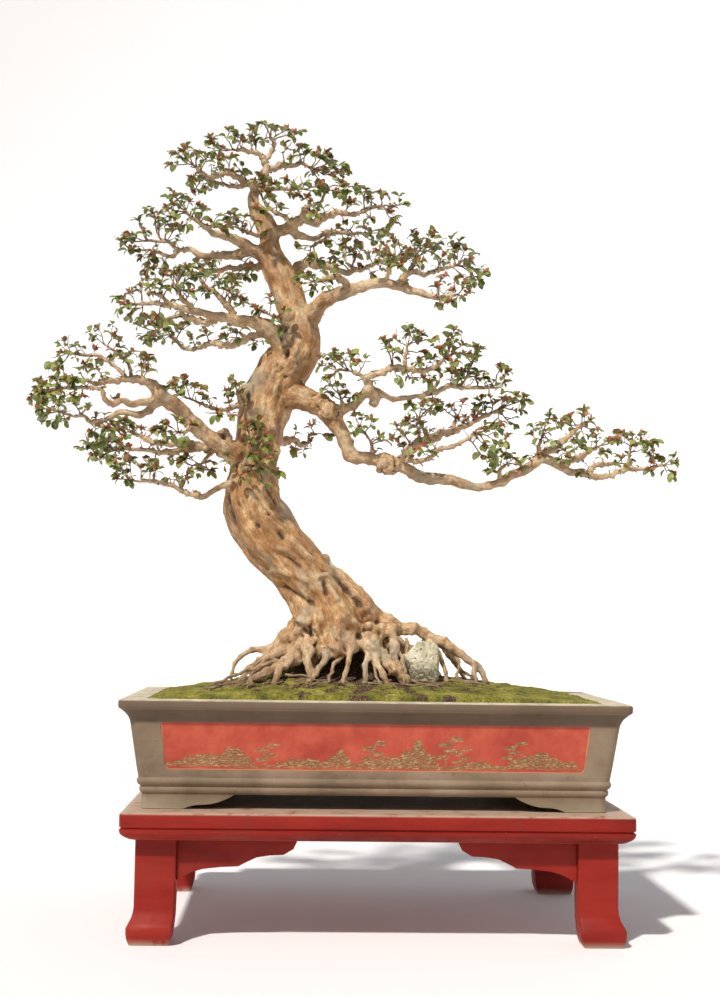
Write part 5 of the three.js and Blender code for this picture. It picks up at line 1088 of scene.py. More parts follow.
def rock_material():
    s = Shader("rock", Roughness=0.9)
    s.base = s.ramp(s.noise(60.0, 4.0, 0.6), (0.3, 146, 140, 116), (0.5, 206, 198, 170), (0.7, 234, 232, 214))
    s.tint((146, 150, 104), s.noise(95.0, 3.0, 0.7), 0.56, 0.66, 0.0, 0.7)
    s.tint((92, 84, 66), s.noise(120.0, 4.0, 0.7), 0.56, 0.68)
    s.bump(s.noise(300.0, 4.0, 0.7), 0.7, 0.0016)
    return s.done()


def pot_material():
    s = Shader("pot_clay", Roughness=0.78)
    height = s.height()
    cloud = s.noise(9.0, 4.0, 0.6)
    s.base = s.ramp(cloud, (0.3, 108, 90, 70), (0.5, 134, 114, 92), (0.7, 152, 134, 112))
    s.tint((168, 150, 124), s.streaks(s.place(), (6.0, 20.0, 60.0)), 0.55, 0.8, 0.0, 0.4)
    s.tint((190, 178, 154), s.noise(260.0, 3.0, 0.6), 0.68, 0.76, 0.0, 0.6)
    s.tint((74, 58, 44), s.noise(40.0, 4.0, 0.7), 0.60, 0.75, 0.0, 0.45)
    s.tint((90, 70, 54), height, 0.398, 0.402, 0.0, 0.7)  # the rim
    # Painted shade on the slope under the rim's overhang.
    under_rim_shade = s.times(s.span(height, 0.370, 0.380), s.span(height, 0.400, 0.397))
    s.cover((64, 48, 36), s.times(under_rim_shade, 0.6))
    # Pale clay where the worn attribute is high: painted sunlight on the rim's top, wear on the feet's lower
    # edge.
    s.cover((222, 212, 186), s.times(s.value("worn"), s.span(s.noise(34.0, 4.0), 0.30, 0.7, 0.5, 1.0)))
    s.tint((170, 166, 142), height, 0.2525, 0.2275, 0.0, 0.35)  # the feet
    s.roughness(s.span(cloud, 0.3, 0.7, 0.7, 0.86))
    s.bump(s.noise(210.0, 4.0, 0.6), 0.35, 0.001)
    return s.done()


def panel_material():
    s = Shader("panel_paint", Roughness=0.62)
    drawn = s.value("picture")
    s.base = s.ramp(s.noise(22.0, 4.0, 0.6), (0.3, 162, 54, 38), (0.5, 182, 72, 50), (0.72, 196, 90, 64))
    s.tint((160, 66, 46), s.noise(190.0, 2.0), 0.62, 0.72, 0.0, 0.4)
    slant = s.streaks(s.place(), (150.0, 150.0, 520.0), 3.0, 0.65, 1.0)
    clay = s.ramp(slant, (0.38, 98, 78, 48), (0.52, 134, 108, 68), (0.62, 162, 138, 92))
    s.cover(clay, s.times(drawn, s.span(slant, 0.34, 0.44, 0.5, 0.95)))
    s.cover((196, 168, 118), s.times(drawn, s.span(slant, 0.55, 0.61, 0.0, 0.8)))
    s.cover((214, 160, 108), s.value("line"))
    s.bump(s.noise(320.0), 0.25, 0.0008)
    return s.done()


def lacquer_material():
    s = Shader("red_lacquer", Roughness=0.55, Specular_IOR_Level=0.25)
    grain = s.streaks(s.place(), (3.0, 30.0, 14.0), 4.0)
    s.base = s.ramp(grain, (0.3, 108, 19, 12), (0.5, 138, 29, 18), (0.72, 152, 41, 27))
    s.tint((124, 40, 28), s.noise(12.0, 4.0), 0.52, 0.72, 0.0, 0.5)
    s.tint((190, 112, 84), s.noise(70.0, 5.0, 0.75), 0.66, 0.74, 0.0, 0.5)
    s.cover((186, 168, 146), s.times(s.value("worn"), s.span(s.noise(30.0, 4.0, 0.65), 0.24, 0.5)))
    s.roughness(s.span(s.noise(30.0), 0.3, 0.7, 0.46, 0.7))
    s.bump(grain, 0.15, 0.0008)
    return s.done()


def screen_material():
    s = Shader("drain_screen", Roughness=0.6)
    s.base = s.ramp(s.noise(300.0), (0.3, 40, 40, 38), (0.7, 66, 64, 58))
    return s.done()


BARK = bark_material()
LEAF_TOP = leaf_material("leaf_top", (72, 86, 32), (116, 130, 50), (162, 164, 82), (164, 170, 100))
LEAF_UNDER = leaf_material("leaf_under", (110, 122, 60), (146, 156, 84), (178, 180, 112), (186, 190, 132))
BUD = bud_material()


# The wood: trunk, limbs and surface roots as one skin

def wood_paths():
    """The wood's routes as smooth paths, knotty where they are thin."""
    paths = []
    for number, route in enumerate([*LIMBS.values(), *ROOTS.values()]):
        path = smooth_route(route, WOOD_STEP)
        gap, swell, kick = (21, 0.3, 0.42) if number < len(LIMBS) else (17, 0.4, 0.7)
        knotty = gnarled(path, random.Random(SEED + 100 + number), gap, swell, kick)
        paths.append(path + (knotty - path) * ease_between(30, 12, path[:, 3])[:, None])
    return paths


def wood_skin(paths):
    wood = Wood()
    for number, path in enumerate(paths):
        wood.tube(path, 14 if path[:, 3].max() < 25 else 28, seed=number)
    skin = build_mesh("tree", np.vstack(wood.points), wood.faces, [BARK])

    def add_swellings(grown):
        for *middle, radius in SWELLINGS:
            bmesh.ops.create_icosphere(grown, subdivisions=3, radius=radius * SWELLING_METRES,
                                       matrix=Matrix.Translation(Vector(in_metres(middle))))

    edit_mesh(skin.data, add_swellings)
    return modified(skin, "REMESH", mode="VOXEL", voxel_size=BARK_VOXEL * 0.001)


def nearest_on_routes(paths, points):
    """For each point, of the path under it: radius, place across it and place along it."""
    rows, headings, sides, others, along = (np.concatenate(part) for part in zip(*(
        (path, *frames_along(path), distances(path) + 400 * number) for number, path in enumerate(paths))))
    centre, radius = rows[:, :3], rows[:, 3]
    best = np.empty(len(points), np.int64)
    batch = 4000
    for start in range(0, len(points), batch):
        part = points[start:start + batch]
        apart = (part ** 2).sum(1)[:, None] + (centre ** 2).sum(1)[None] - 2 * part @ centre.T
        best[start:start + batch] = (np.sqrt(np.maximum(apart, 0)) - radius[None]).argmin(1)
    offset = points - centre[best]
    across = np.stack([(offset * sides[best]).sum(1), (offset * others[best]).sum(1)], 1)
    return radius[best], across, along[best] + (offset * headings[best]).sum(1)


def marks_at(points):
    """How far the listed ridges and hollows move each point, and how dark the painted shade in each of the
    hollows is there.
    """
    push, dark = np.zeros(len(points)), np.zeros(len(points))
    for start, end, reach, height in MARKS:
        a, b = np.array(start, float), np.array(end, float)
        share = clamp01(((points - a) @ (b - a)) / ((b - a) @ (b - a)))
        near = np.exp(-((np.linalg.norm(points - (a + share[:, None] * (b - a)), axis=1) / reach) ** 2) * 1.6)
        push += height * near
        if height < 0:
            # A deep hollow also gets painted shade, darker the deeper it is.
            dark = np.maximum(dark, near * min(1.0, max(0.05, (-height - 3.5) / 8)))
    return push, dark


def nodules_at(points):
    """How far the upper burls' nodules, heaped like popcorn, push each point out."""
    rng = random.Random(SEED + 5)
    push = np.zeros(len(points))
    for *middle, size in UPPER_BURLS:
        apart = np.linalg.norm(points - middle, axis=1)
        near = np.flatnonzero(apart < size * 1.7)
        height = np.full(len(near), -2.0)
        for _ in range(int(size * 3)):
            way = random_way(rng, 0, -0.5, 0)
            reach = rng.uniform(4.4, 8.0)
            away = np.linalg.norm(points[near] - (np.array(middle) + way * size * 1.02), axis=1) / reach
            height = np.maximum(height, reach * np.sqrt(np.maximum(0, 1 - away ** 2)) - 2.0)
        push[near] += height * ease_between(1.6, 1.15, apart[near] / size)
    return push


def bark_relief(points, radius, across, place):
    """How far the bark's sinews, flutes and lumps push each point out."""
    unit = across / np.maximum(np.linalg.norm(across, axis=1), 1e-6)[:, None]
    c, s = np.cos(place / 260), np.sin(place / 260)
    around = np.stack([unit[:, 0] * c - unit[:, 1] * s, unit[:, 0] * s + unit[:, 1] * c], 1)
    swells = perlin(np.column_stack([around * 0.9, place / 120]), 5)
    sinews = 1 - 2.2 * np.abs(perlin(np.column_stack([around * 1.7, place / 84]), 11))
    flutes = 2.8 * np.abs(perlin(np.column_stack([around * 2.5, place / 105]), 17)) - 0.7
    thick = ease_between(14, 36, radius)
    push = radius * (0.11 * swells + 0.075 * sinews * thick + 0.06 * flutes * thick - 0.05)
    push += np.minimum(radius, 30) * 0.10 * perlin(points / 26, 23)
    push += np.minimum(radius, 15) * 0.21 * (1 - 0.7 * thick) * layered(points / 9.5, 2, 29)
    push += 0.7 * perlin(points / 5.2, 33)
    crown = ease_between(575, 545, points[:, 2]) * ease_between(150, 90, np.abs(points[:, 0] - CROWN_X))
    push += crown * (14 * np.abs(perlin(points / (17, 17, 27), 47)) - 3.0) * ease_between(3, 14, radius)
    for *middle, size in KNOBS + LOW_BURLS:
        near = np.exp(-(np.linalg.norm(points - middle, axis=1) / (size * 1.15)) ** 4)
        push += near * (10 * np.abs(perlin(points / (12, 12, 18), 31)) - 2.0 + 1.4 * perlin(points / 6, 37))
    return push


def make_tree():
    paths = wood_paths()
    tree = wood_skin(paths)
    mesh = tree.data
    points = mesh_points(mesh)
    edges = mesh_numbers(mesh.edges, "vertices", 2, np.int64)
    radius, across, place = nearest_on_routes(paths, points)
    ease = clamp01(radius / 26)[:, None] * 0.55 + 0.15
    for *middle, size in SWELLINGS:
        ease[np.linalg.norm(points - middle, axis=1) < size * 1.1] = 0.36
    for _ in range(BARK_SMOOTHING):
        points += (neighbour_mean(points, edges) - points) * ease
    normal = point_normals(points, mesh_numbers(mesh.polygons, "vertices", 4, np.int64))
    push = neighbour_mean(bark_relief(points, radius, across, place), edges)
    cut, dark = marks_at(points)
    push += cut
    push = 0.5 * push + 0.5 * neighbour_mean(push, edges) + nodules_at(points)
    points += normal * push[:, None]

    soft = points
    for _ in range(BARK_SOFTENING):
        soft = neighbour_mean(soft, edges)
    sunk = ((soft - points) * normal).sum(1)
    grey = ease_between(0.2, 0.62, layered(points / (44, 44, 90), 3, 41)) * 0.5
    for *spot, size in GREY_SPOTS:
        grey = np.maximum(grey, 0.7 * np.exp(-(np.linalg.norm(points - spot, axis=1) / size) ** 2))
    place_points(mesh, points)
    set_attributes(
        mesh, grain=np.column_stack([across, place]), grey=grey,
        # The darkening of sunken places and deep marks is painted shade.
        hollow=clamp01(np.maximum(dark, ease_between(0.7, 2.6, sunk) * 0.8)),
        # Paler raised lumps are a painted highlight; paler thinner limbs are their lighter bark.
        pale=np.maximum(ease_between(0.5, 3.0, -sunk) * 0.6, ease_between(24, 9, radius) * 0.75),
        thin=ease_between(7, 2.5, radius) * ease_between(560, 620, points[:, 2]) * 0.6)
    shade_smooth(mesh)
    mesh.update()
    mesh.materials.clear()
    mesh.materials.append(BARK)
    finish_piece(tree, "bark", "tree_wood")


# Leafy sprays

# Across a leaf: share of its length, share of its half width there.
LEAF_STATIONS = [(0.16, 0.58), (0.40, 0.96), (0.68, 1.0), (0.89, 0.60)]
GROWN, YOUNG = 1, 3  # a leaf's material; a grown leaf's lower skin has the one after its own


def leaf_template():
    """A leaf's points as (along, across), and the faces of its upper and its lower skin."""
    rows = [(0.0, 0.0)]
    for along, wide in LEAF_STATIONS:
        rows += [(along, -wide), (along, 0.0), (along, wide)]
    rows.append((1.0, 0.0))
    last = len(rows) - 1
    faces = [[0, 2, 1], [0, 3, 2]]
    for a in range(1, last - 3, 3):
        faces += [[a, a + 1, a + 4, a + 3], [a + 1, a + 2, a + 5, a + 4]]
    faces += [[last - 3, last - 2, last], [last - 2, last - 1, last]]
    return np.array(rows), faces, [[i + len(rows) for i in face[::-1]] for face in faces]


LEAF_ROWS, LEAF_FACES, LEAF_BACK = leaf_template()


def add_leaf(wood, base, heading, up, length, width, curl, fold, tone, kind):
    """A leaf from base along heading, folded on its midrib and curled over its length, inside the box."""
    heading = unit_of(heading)
    side = unit_of(np.cross(up, heading))
    up = np.cross(heading, side)
    along, across = LEAF_ROWS.T
    forward, drop = along, 0 * along
    if abs(curl) > 1e-3:
        forward, drop = np.sin(curl * along) / curl, (1 - np.cos(curl * along)) / curl
    lift = np.abs(across) * (width / 2) * math.sin(fold)
    flat = across * (width / 2) * math.cos(fold)
    points = (base + np.outer(forward * length, heading) + np.outer(flat, side)
              + np.outer(lift - drop * length, up))
    back = points - up * LEAF_THICK * (1 - np.abs(across))[:, None] * (along * (1 - along) > 0)[:, None]
    both = np.vstack([points, back])
    both += (np.maximum(ROOM[0] + LEAF_MARGIN - both.min(0), 0)
             - np.maximum(both.max(0) - ROOM[1] + LEAF_MARGIN, 0))
    data = np.column_stack([along, across, np.full(len(along), tone)])
    wood.leaves.append((both, np.vstack([data, data]), kind))


def grown_leaf(wood, base, out, size):
    """One grown leaf: it faces the light and droops over its length."""
    rng = wood.rng
    up = unit_of(np.array([rng.uniform(-0.6, 0.6) - 0.15, rng.uniform(-0.9, 0.35), 1.0]))
    length = LEAF_LENGTH * size
    add_leaf(wood, base, out, up, length, length * rng.uniform(0.52, 0.72), rng.uniform(0.6, 2.1),
             rng.uniform(0.1, 0.5), rng.random(), GROWN)


def bent_twig(foot, tip, heading, radius, rng):
    """A thin crooked shoot from foot to tip that leaves along heading: rows of x, y, z, radius."""
    way = tip - foot
    length = np.linalg.norm(way)
    first = foot + (0.5 * unit_of(heading) + 0.5 * unit_of(way)) * length * 0.28
    points = [foot, first]
    for share in (0.52, 0.77):
        points.append(first + (tip - first) * share + random_vector(rng, *[(-1, 1)] * 3) * length * 0.055)
    points.append(tip)
    taper = [radius, radius * 0.8, radius * 0.66, radius * 0.55, 0.55]
    return smooth_route([[*p, r] for p, r in zip(points, taper)], 5.5)


def add_leaves(wood, path, from_share, size, bud_chance):
    """Leaves in two ranks along a shoot, the outer ones closer together, with young red ones at its end."""
    rng = wood.rng
    heading, _, _ = frames_along(path)
    along = distances(path)
    total = along[-1]
    turn = rng.uniform(0, 2 * math.pi)
    at, rank = from_share * total + rng.uniform(0, LEAF_SPACING), 0
    while at < total + 1:
        k = min(np.searchsorted(along, at), len(path) - 1)
        side = unit_of(np.cross(heading[k], (math.cos(turn) * 0.5, math.sin(turn) * 0.5, 1.0)))
        side = side * (1 if rank % 2 else -1)
        out = unit_of(heading[k] * rng.uniform(0.2, 0.7) + side * rng.uniform(0.7, 1.0)
                      + np.array([0, -0.15, rng.uniform(-0.05, 0.5)]))
        grown_leaf(wood, path[k, :3] + out, out, size * rng.uniform(0.6, 1.2))
        at += LEAF_SPACING * rng.uniform(0.7, 1.4) * (1.25 - 0.5 * at / total)
        rank += 1
    tip, h = path[-1, :3], heading[-1]
    for _ in range(rng.choice((1, 2, 2))):
        out = unit_of(h + random_vector(rng, (-0.9, 0.9), (-0.9, 0.7), (-0.2, 0.5)))
        grown_leaf(wood, tip, out, size * rng.uniform(0.55, 1.0))
    if rng.random() < bud_chance:
        for _ in range(rng.choice((4, 5, 6, 8))):
            out = unit_of(h + random_vector(rng, (-1.1, 1.1), (-1.1, 0.9), (0.0, 1.1)))
            length = rng.uniform(7, 15)
            foot = tip - h * rng.uniform(0, 4)
            up = np.append(random_vector(rng, (-1, 1), (-1, 1)), 0.5)
            width = length * rng.uniform(0.4, 0.62)
            add_leaf(wood, foot, out, up, length, width, rng.uniform(-0.9, 0.9), 0.5, rng.random(), YOUNG)


def stem_places(paths):
    """Places where a shoot may leave a stem: point, heading, radius, distance from the spray's foot."""
    places = []
    for number, path in enumerate(paths):
        heading, _, _ = frames_along(path)
        travelled = 0.0
        if number:
            travelled = min(places, key=lambda p: np.linalg.norm(p[0] - path[0, :3]))[3]
        for k in range(1, len(path)):
            travelled += np.linalg.norm(path[k, :3] - path[k - 1, :3])
            places.append((path[k, :3], heading[k], path[k, 3], travelled))
    return places


def in_room(points, margin):
    return np.clip(points, ROOM[0] + margin, ROOM[1] - margin)


def spur(wood, start, reach, radius):
    """A short bare spur."""
    end = in_room(start + reach, TWIG_MARGIN)
    bend = (start + end) / 2 + random_vector(wood.rng, *[(-2, 2)] * 3)
    neck = start + 0.85 * (end - start)
    path = np.array([[*start, radius], [*bend, radius * 0.8], [*neck, radius * 0.75], [*end, radius]])
    wood.tube(path, 6, 0.3, wood.seed(17))


def twiglet(wood, start, reach, radius, size, bud_chance):
    """A short side twig; about one in three is bare."""
    end = in_room(start + reach, TWIG_MARGIN)
    path = gnarled(bent_twig(start, end, reach, radius, wood.rng), wood.rng, 6, 0.3, 0.6)
    wood.tube(path, 6, 0.2, wood.seed(13))
    if wood.rng.random() < 0.66:
        add_leaves(wood, path, 0.5, size, bud_chance)


def make_spray(name, number, stems, tips):
    rng = random.Random(SEED * 1000 + number)
    wood = Wood(number, rng)
    paths = []
    for route in stems:
        paths.append(gnarled(smooth_route(route, 2.6), rng, 12, 0.42, 0.42))
        wood.tube(paths[-1], 10, 0.34, wood.seed(5))
    places = stem_places(paths)
    for tip in np.array(tips, float):
        foot, heading, thick, _ = min(places, key=lambda p: np.linalg.norm(p[0] - tip) + 0.3 * p[3])
        length = np.linalg.norm(tip - foot)
        radius = min(0.6 * thick, 1.3 + length / 60)
        path = gnarled(bent_twig(foot, tip, heading, radius, rng), rng, 7, 0.3, 0.5)
        wood.tube(path, 7, 0.2, wood.seed(11))
        add_leaves(wood, path, 0.55 if length > 24 else 0.3, 1.0, 0.8)
        for _ in range(0 if length < 20 else 1 if length < 40 else 2):
            k = rng.randrange(len(path) // 3, max(len(path) // 3 + 1, len(path) - 1))
            way = unit_of(random_vector(rng, (-1, 1), (-1, 1), (-0.2, 0.9)) + 0.8 * unit_of(tip - foot))
            twiglet(wood, path[k, :3], way * rng.uniform(12, 24), radius * 0.7, 0.85, 0.6)
    for start, _, thick, _ in places[::5]:
        if thick > 6.5 or rng.random() < 0.5:
            continue
        way = unit_of(random_vector(rng, (-1, 1), (-1, 1), (-0.2, 1.3)))
        twiglet(wood, start, way * rng.uniform(10, 26), 1.25, 0.75, 0.45)
    for start, _, thick, _ in places[2::4]:
        if thick > 9:
            continue
        way = unit_of(random_vector(rng, (-1, 1), (-1, 1), (-0.8, 1.2)))
        spur(wood, start, way * rng.uniform(5, 13), rng.uniform(1.3, 2.0))
    place_spray(name, wood)


def place_spray(name, wood):
    """The spray's mesh: its wood, then the two skins of each leaf."""
    points, faces, kinds = list(wood.points), list(wood.faces), [0] * len(wood.faces)
    grain = np.vstack(wood.grain)
    leaf_data = [np.zeros((wood.count, 3))]
    count = wood.count
    for both, data, kind in wood.leaves:
        for group, material in ((LEAF_FACES, kind), (LEAF_BACK, kind + 1 if kind == GROWN else kind)):
            faces.extend([[i + count for i in face] for face in group])
            kinds.extend([material] * len(group))
        points.append(both)
        leaf_data.append(data)
        count += len(both)
    pad = count - wood.count
    thin = ease_between(4.6, 1.6, np.hypot(grain[:, 0], grain[:, 1]))
    piece = build_mesh(f"spray_{name}_leaves", in_room(np.vstack(points), SPRAY_MARGIN), faces,
                       [BARK, LEAF_TOP, LEAF_UNDER, BUD], kinds,
                       leaf=np.vstack(leaf_data), grain=np.pad(grain, ((0, pad), (0, 0))),
                       hollow=0.0, grey=0.0, pale=0.8, thin=np.pad(thin, (0, pad)))
    finish_piece(piece, "leaf", f"spray_{name}")


# Soil, moss and the stone

def soil_height(x, y):
    past = SOIL_PEAK_Y - y
    fall = np.where(past > 0, 1 - (np.abs(past) / 285) ** 1.9, 1 - (past / 205) ** 2)
    across = 1 - (np.abs(x - POT_X) / MOUTH) ** 2.2
    heap = 0.0
    for height, mid_x, reach_x, mid_y, reach_y in HEAPS:
        heap = heap + height * np.exp(-((x - mid_x) / reach_x) ** 2 - ((y - mid_y) / reach_y) ** 2)
    return SOIL_EDGE + SOIL_CROWN * np.maximum(0, across) * np.maximum(0, fall) + heap


def make_soil():
    step = 3.0
    half_x, half_y = MOUTH - 0.4, MOUTH - DEPTH_LESS - 0.4
    wide, deep = int(2 * half_x / step) + 1, int(2 * half_y / step) + 1
    gx, gy = np.meshgrid(np.linspace(-half_x, half_x, wide) + POT_X, np.linspace(-half_y, half_y, deep))
    top = np.column_stack([gx.ravel(), gy.ravel(), np.zeros(gx.size)])
    x, y = top[:, 0], top[:, 1]
    edge = np.minimum(half_x - np.abs(x - POT_X), half_y - np.abs(y))
    cushion = layered(top / 34, 3, 61)
    fluff = layered(top / 7, 2, 67)
    root_reach = np.hypot((x + 20) / 225, (y + 45) / 150)
    bare = clamp01(1.50 - 1.12 * root_reach + 1.3 * layered(top / 30, 3, 71))
    moss = 1 - ease_between(0.42, 0.60, bare)
    tufts = ease_between(0.14, 0.30, perlin(top / 21, 73)) * ease_between(0.3, 0.7, root_reach)
    moss = np.maximum(moss, tufts)
    crumbs = perlin(top / 4.6, 79) + 0.6 * perlin(top / 2.6, 80)
    inside = ease_between(0, 9, edge)
    green, earth = 2.2 + 3.4 * cushion + 1.5 * fluff, 1.6 * cushion + 1.2 * fluff + 2.6 * crumbs
    relief = moss * green + (1 - moss) * earth
    top[:, 2] = soil_height(x, y) + inside * relief + (1 - inside) * 1.2
    faces = grid_faces(deep, wide)
    # the side goes down into the pot, so that the soil is a closed block
    number = np.arange(wide * deep).reshape(deep, wide)
    ring = np.concatenate([number[0], number[1:, -1], number[-1, -2::-1], number[-2:0:-1, 0]]).tolist()
    low = top[ring].copy()
    low[:, 0] = POT_X + (low[:, 0] - POT_X) * 0.972
    low[:, 1] *= 0.945
    low[:, 2] = SOIL_FLOOR
    under = [len(top) + k for k in range(len(ring))]
    faces += [[ring[k - 1], under[k - 1], under[k], ring[k]] for k in [*range(1, len(ring)), 0]]
    faces.append(under[::-1])
    piece = build_mesh("soil_and_moss", np.vstack([top, low]), faces, [soil_material()],
                       moss=np.pad(moss, (0, len(low))))
    finish_piece(piece, "soil", "soil")


def make_rootlets():
    """Fine surface roots that run out from the big ones over the soil."""
    rng = random.Random(SEED + 7)
    wood = Wood()
    for number, route in enumerate(THIN_ROOTS):
        path = gnarled(smooth_route(route, 4), random.Random(SEED + 300 + number), 12, 0.5, 1.1)
        wood.tube(path, 9, 0.5, number + 60)
    for number, route in enumerate([*ROOTS.values(), *THIN_ROOTS]):
        for _ in range(3):
            x, y = route[rng.randrange(len(route) // 2, len(route))][:2]
            away = math.atan2(y + 10, x + 40) + rng.uniform(-1.1, 1.1)
            rows, reach = [], rng.uniform(26, 70)
            for share in (i / 8 for i in range(9)):
                px = x + math.cos(away) * reach * share + rng.uniform(-3.4, 3.4)
                py = y + math.sin(away) * reach * share * 0.8 + rng.uniform(-3.4, 3.4)
                px = min(max(px, POT_X - MOUTH + 14), POT_X + MOUTH - 14)
                py = min(max(py, -184), 184)
                ground = float(soil_height(np.array([px]), np.array([py]))[0])
                radius = rng.uniform(1.4, 2.6) * (1 - 0.6 * share)
                rows.append([px, py, ground + 3.4 - 4.0 * share ** 3, radius])
            wood.tube(smooth_route(rows, 5), 6, 0.3, number)
    piece = build_mesh("surface_rootlets", np.vstack(wood.points), wood.faces, [BARK],
                       grain=np.vstack(wood.grain), hollow=0.0, grey=0.2, pale=0.4, thin=0.3)
    finish_piece(piece, "bark")


def make_rock():
    mesh = bpy.data.meshes.new("rock_stone")
    edit_mesh(mesh, lambda ball: bmesh.ops.create_icosphere(ball, subdivisions=6, radius=1.0))
    unit = mesh_numbers(mesh.vertices, "co", 3)
    rng = random.Random(SEED + 3)
    size = np.full(len(unit), 1.2)
    for _ in range(13):
        side = random_way(rng, 0, 0, 0)
        size = np.minimum(size, rng.uniform(0.62, 0.93) / np.maximum(unit @ side, 0.05))
    size += 0.03 * layered(unit * 4.5, 3, 81) - 0.05 * ease_between(0.12, 0.0, np.abs(perlin(unit * 2.1, 86)))
    size += 0.14 * np.maximum(0, unit @ unit_of(np.array([0.75, -0.2, 0.62]))) ** 3
    points = unit * np.minimum(size, 1.1)[:, None] * ROCK_HALF
    points[:, 0] -= 6 * clamp01(-unit[:, 2]) * (unit[:, 0] < 0)
    place_points(mesh, points + ROCK_AT)
    shade_smooth(mesh)
    mesh.materials.append(rock_material())
    mesh.update()
    finish_piece(add_object("rock_stone", mesh), "rock", "rock")


# Pot and stand

def rounded_ring(x0, x1, y0, y1, z, radius, steps):
    """A ring of points round a level rectangle with rounded corners."""
    corners = [(x1 - radius, y1 - radius), (x0 + radius, y1 - radius), (x0 + radius, y0 + radius),
               (x1 - radius, y0 + radius)]
    return [[x + radius * math.cos(a), y + radius * math.sin(a), z]
            for quarter, (x, y) in enumerate(corners)
            for a in ((quarter + i / steps) * math.pi / 2 for i in range(steps + 1))]


def pot_ring(half, z, radius=14.0):
    ring = rounded_ring(-half, half, -(half - DEPTH_LESS), half - DEPTH_LESS, z, radius, 8)
    return [[x + POT_X, y, h] for x, y, h in ring]


def loft(rings, capped=True):
    return np.array([p for ring in rings for p in ring]), ring_faces(len(rings), len(rings[0]), capped)


def arc_profile(points, steps):
    """A profile of (z, half) points; each (z, half, bulge) bows out by bulge on its way to the next."""
    rows = []
    for (z0, h0, bulge), (z1, h1, _) in zip(points, points[1:]):
        count = steps if bulge else 1
        for t in (k / count for k in range(count)):
            rows.append((z0 + (z1 - z0) * t, h0 + (h1 - h0) * t + bulge * math.sin(math.pi * t)))
    return rows + [points[-1][:2]]


def cut_with(piece, cutters, operation="DIFFERENCE"):
    for cutter in cutters:
        modified(piece, "BOOLEAN", operation=operation, solver="EXACT", object=cutter)
        bpy.data.objects.remove(cutter)


def prism(outline, low, high, turn):
    """A closed block: the outline of (x, z) points from y = low to y = high, then turned or moved by turn."""
    count = len(outline)
    points = turn(np.array([[x, y, z] for y in (low, high) for x, z in outline], float))
    faces = [list(range(count)), list(range(count, 2 * count))[::-1]]
    faces += [[i, i + count, (i + 1) % count + count, (i + 1) % count] for i in range(count)]
    piece = build_mesh("cutter", points, faces, [])
    edit_mesh(piece.data, lambda block: bmesh.ops.recalc_face_normals(block, faces=block.faces))
    return piece


def turned(quarter):
    c, s = math.cos(quarter * math.pi / 2), math.sin(quarter * math.pi / 2)
    return lambda p: np.column_stack([POT_X + p[:, 0] * c - p[:, 1] * s, p[:, 0] * s + p[:, 1] * c, p[:, 2]])


WALL_SLOPE = math.atan2(WALL_RUN, WALL_RISE)
WALL_AT_PANEL = WALL_LOW + (PANEL_LOW - WALL_FOOT) * WALL_RUN / WALL_RISE

# Each side: its name, quarter turns, how much shorter its panel is, and its wall's distance from the middle.
POT_SIDES = [("front", 0, 0.0, WALL_AT_PANEL - DEPTH_LESS), ("back", 2, 0.0, WALL_AT_PANEL - DEPTH_LESS),
             ("right", 1, DEPTH_LESS, WALL_AT_PANEL), ("left", 3, DEPTH_LESS, WALL_AT_PANEL)]


def panel_size(less):
    """Half widths of a panel at its bottom and top, and its height up the sloping wall."""
    return PANEL_BOTTOM - less, PANEL_TOP - less, (PANEL_HIGH - PANEL_LOW) / math.cos(WALL_SLOPE)


def panel_outline(less):
    bottom, top, height = panel_size(less)
    low, high = PANEL_CORNER, PANEL_CREST
    right = [(bottom - low + low * math.sin(a), low - low * math.cos(a))
             for a in (i / 8 * math.pi / 2 for i in range(9))]
    right += [(top - high + high * math.cos(a), height - high + high * math.sin(a))
              for a in (i / 4 * math.pi / 2 for i in range(5))]
    return [(-x, z) for x, z in right[::-1]] + right


def on_wall(points, quarter, wall):
    """Points of (along the wall, out of it as -y, up it) moved onto that side of the pot."""
    c, s = math.cos(WALL_SLOPE), math.sin(WALL_SLOPE)
    x, y, z = points.T
    return turned(quarter)(np.column_stack([x, y * c - z * s - wall, y * s + z * c + PANEL_LOW]))


def foot_gap(half):
    """Outline of the opening between two feet, from the right one to the left one."""
    right = [(half - FOOT_LENGTH - inward, z) for inward, z in FOOT_GAP]
    return right + [(-x, z) for x, z in right[::-1]]


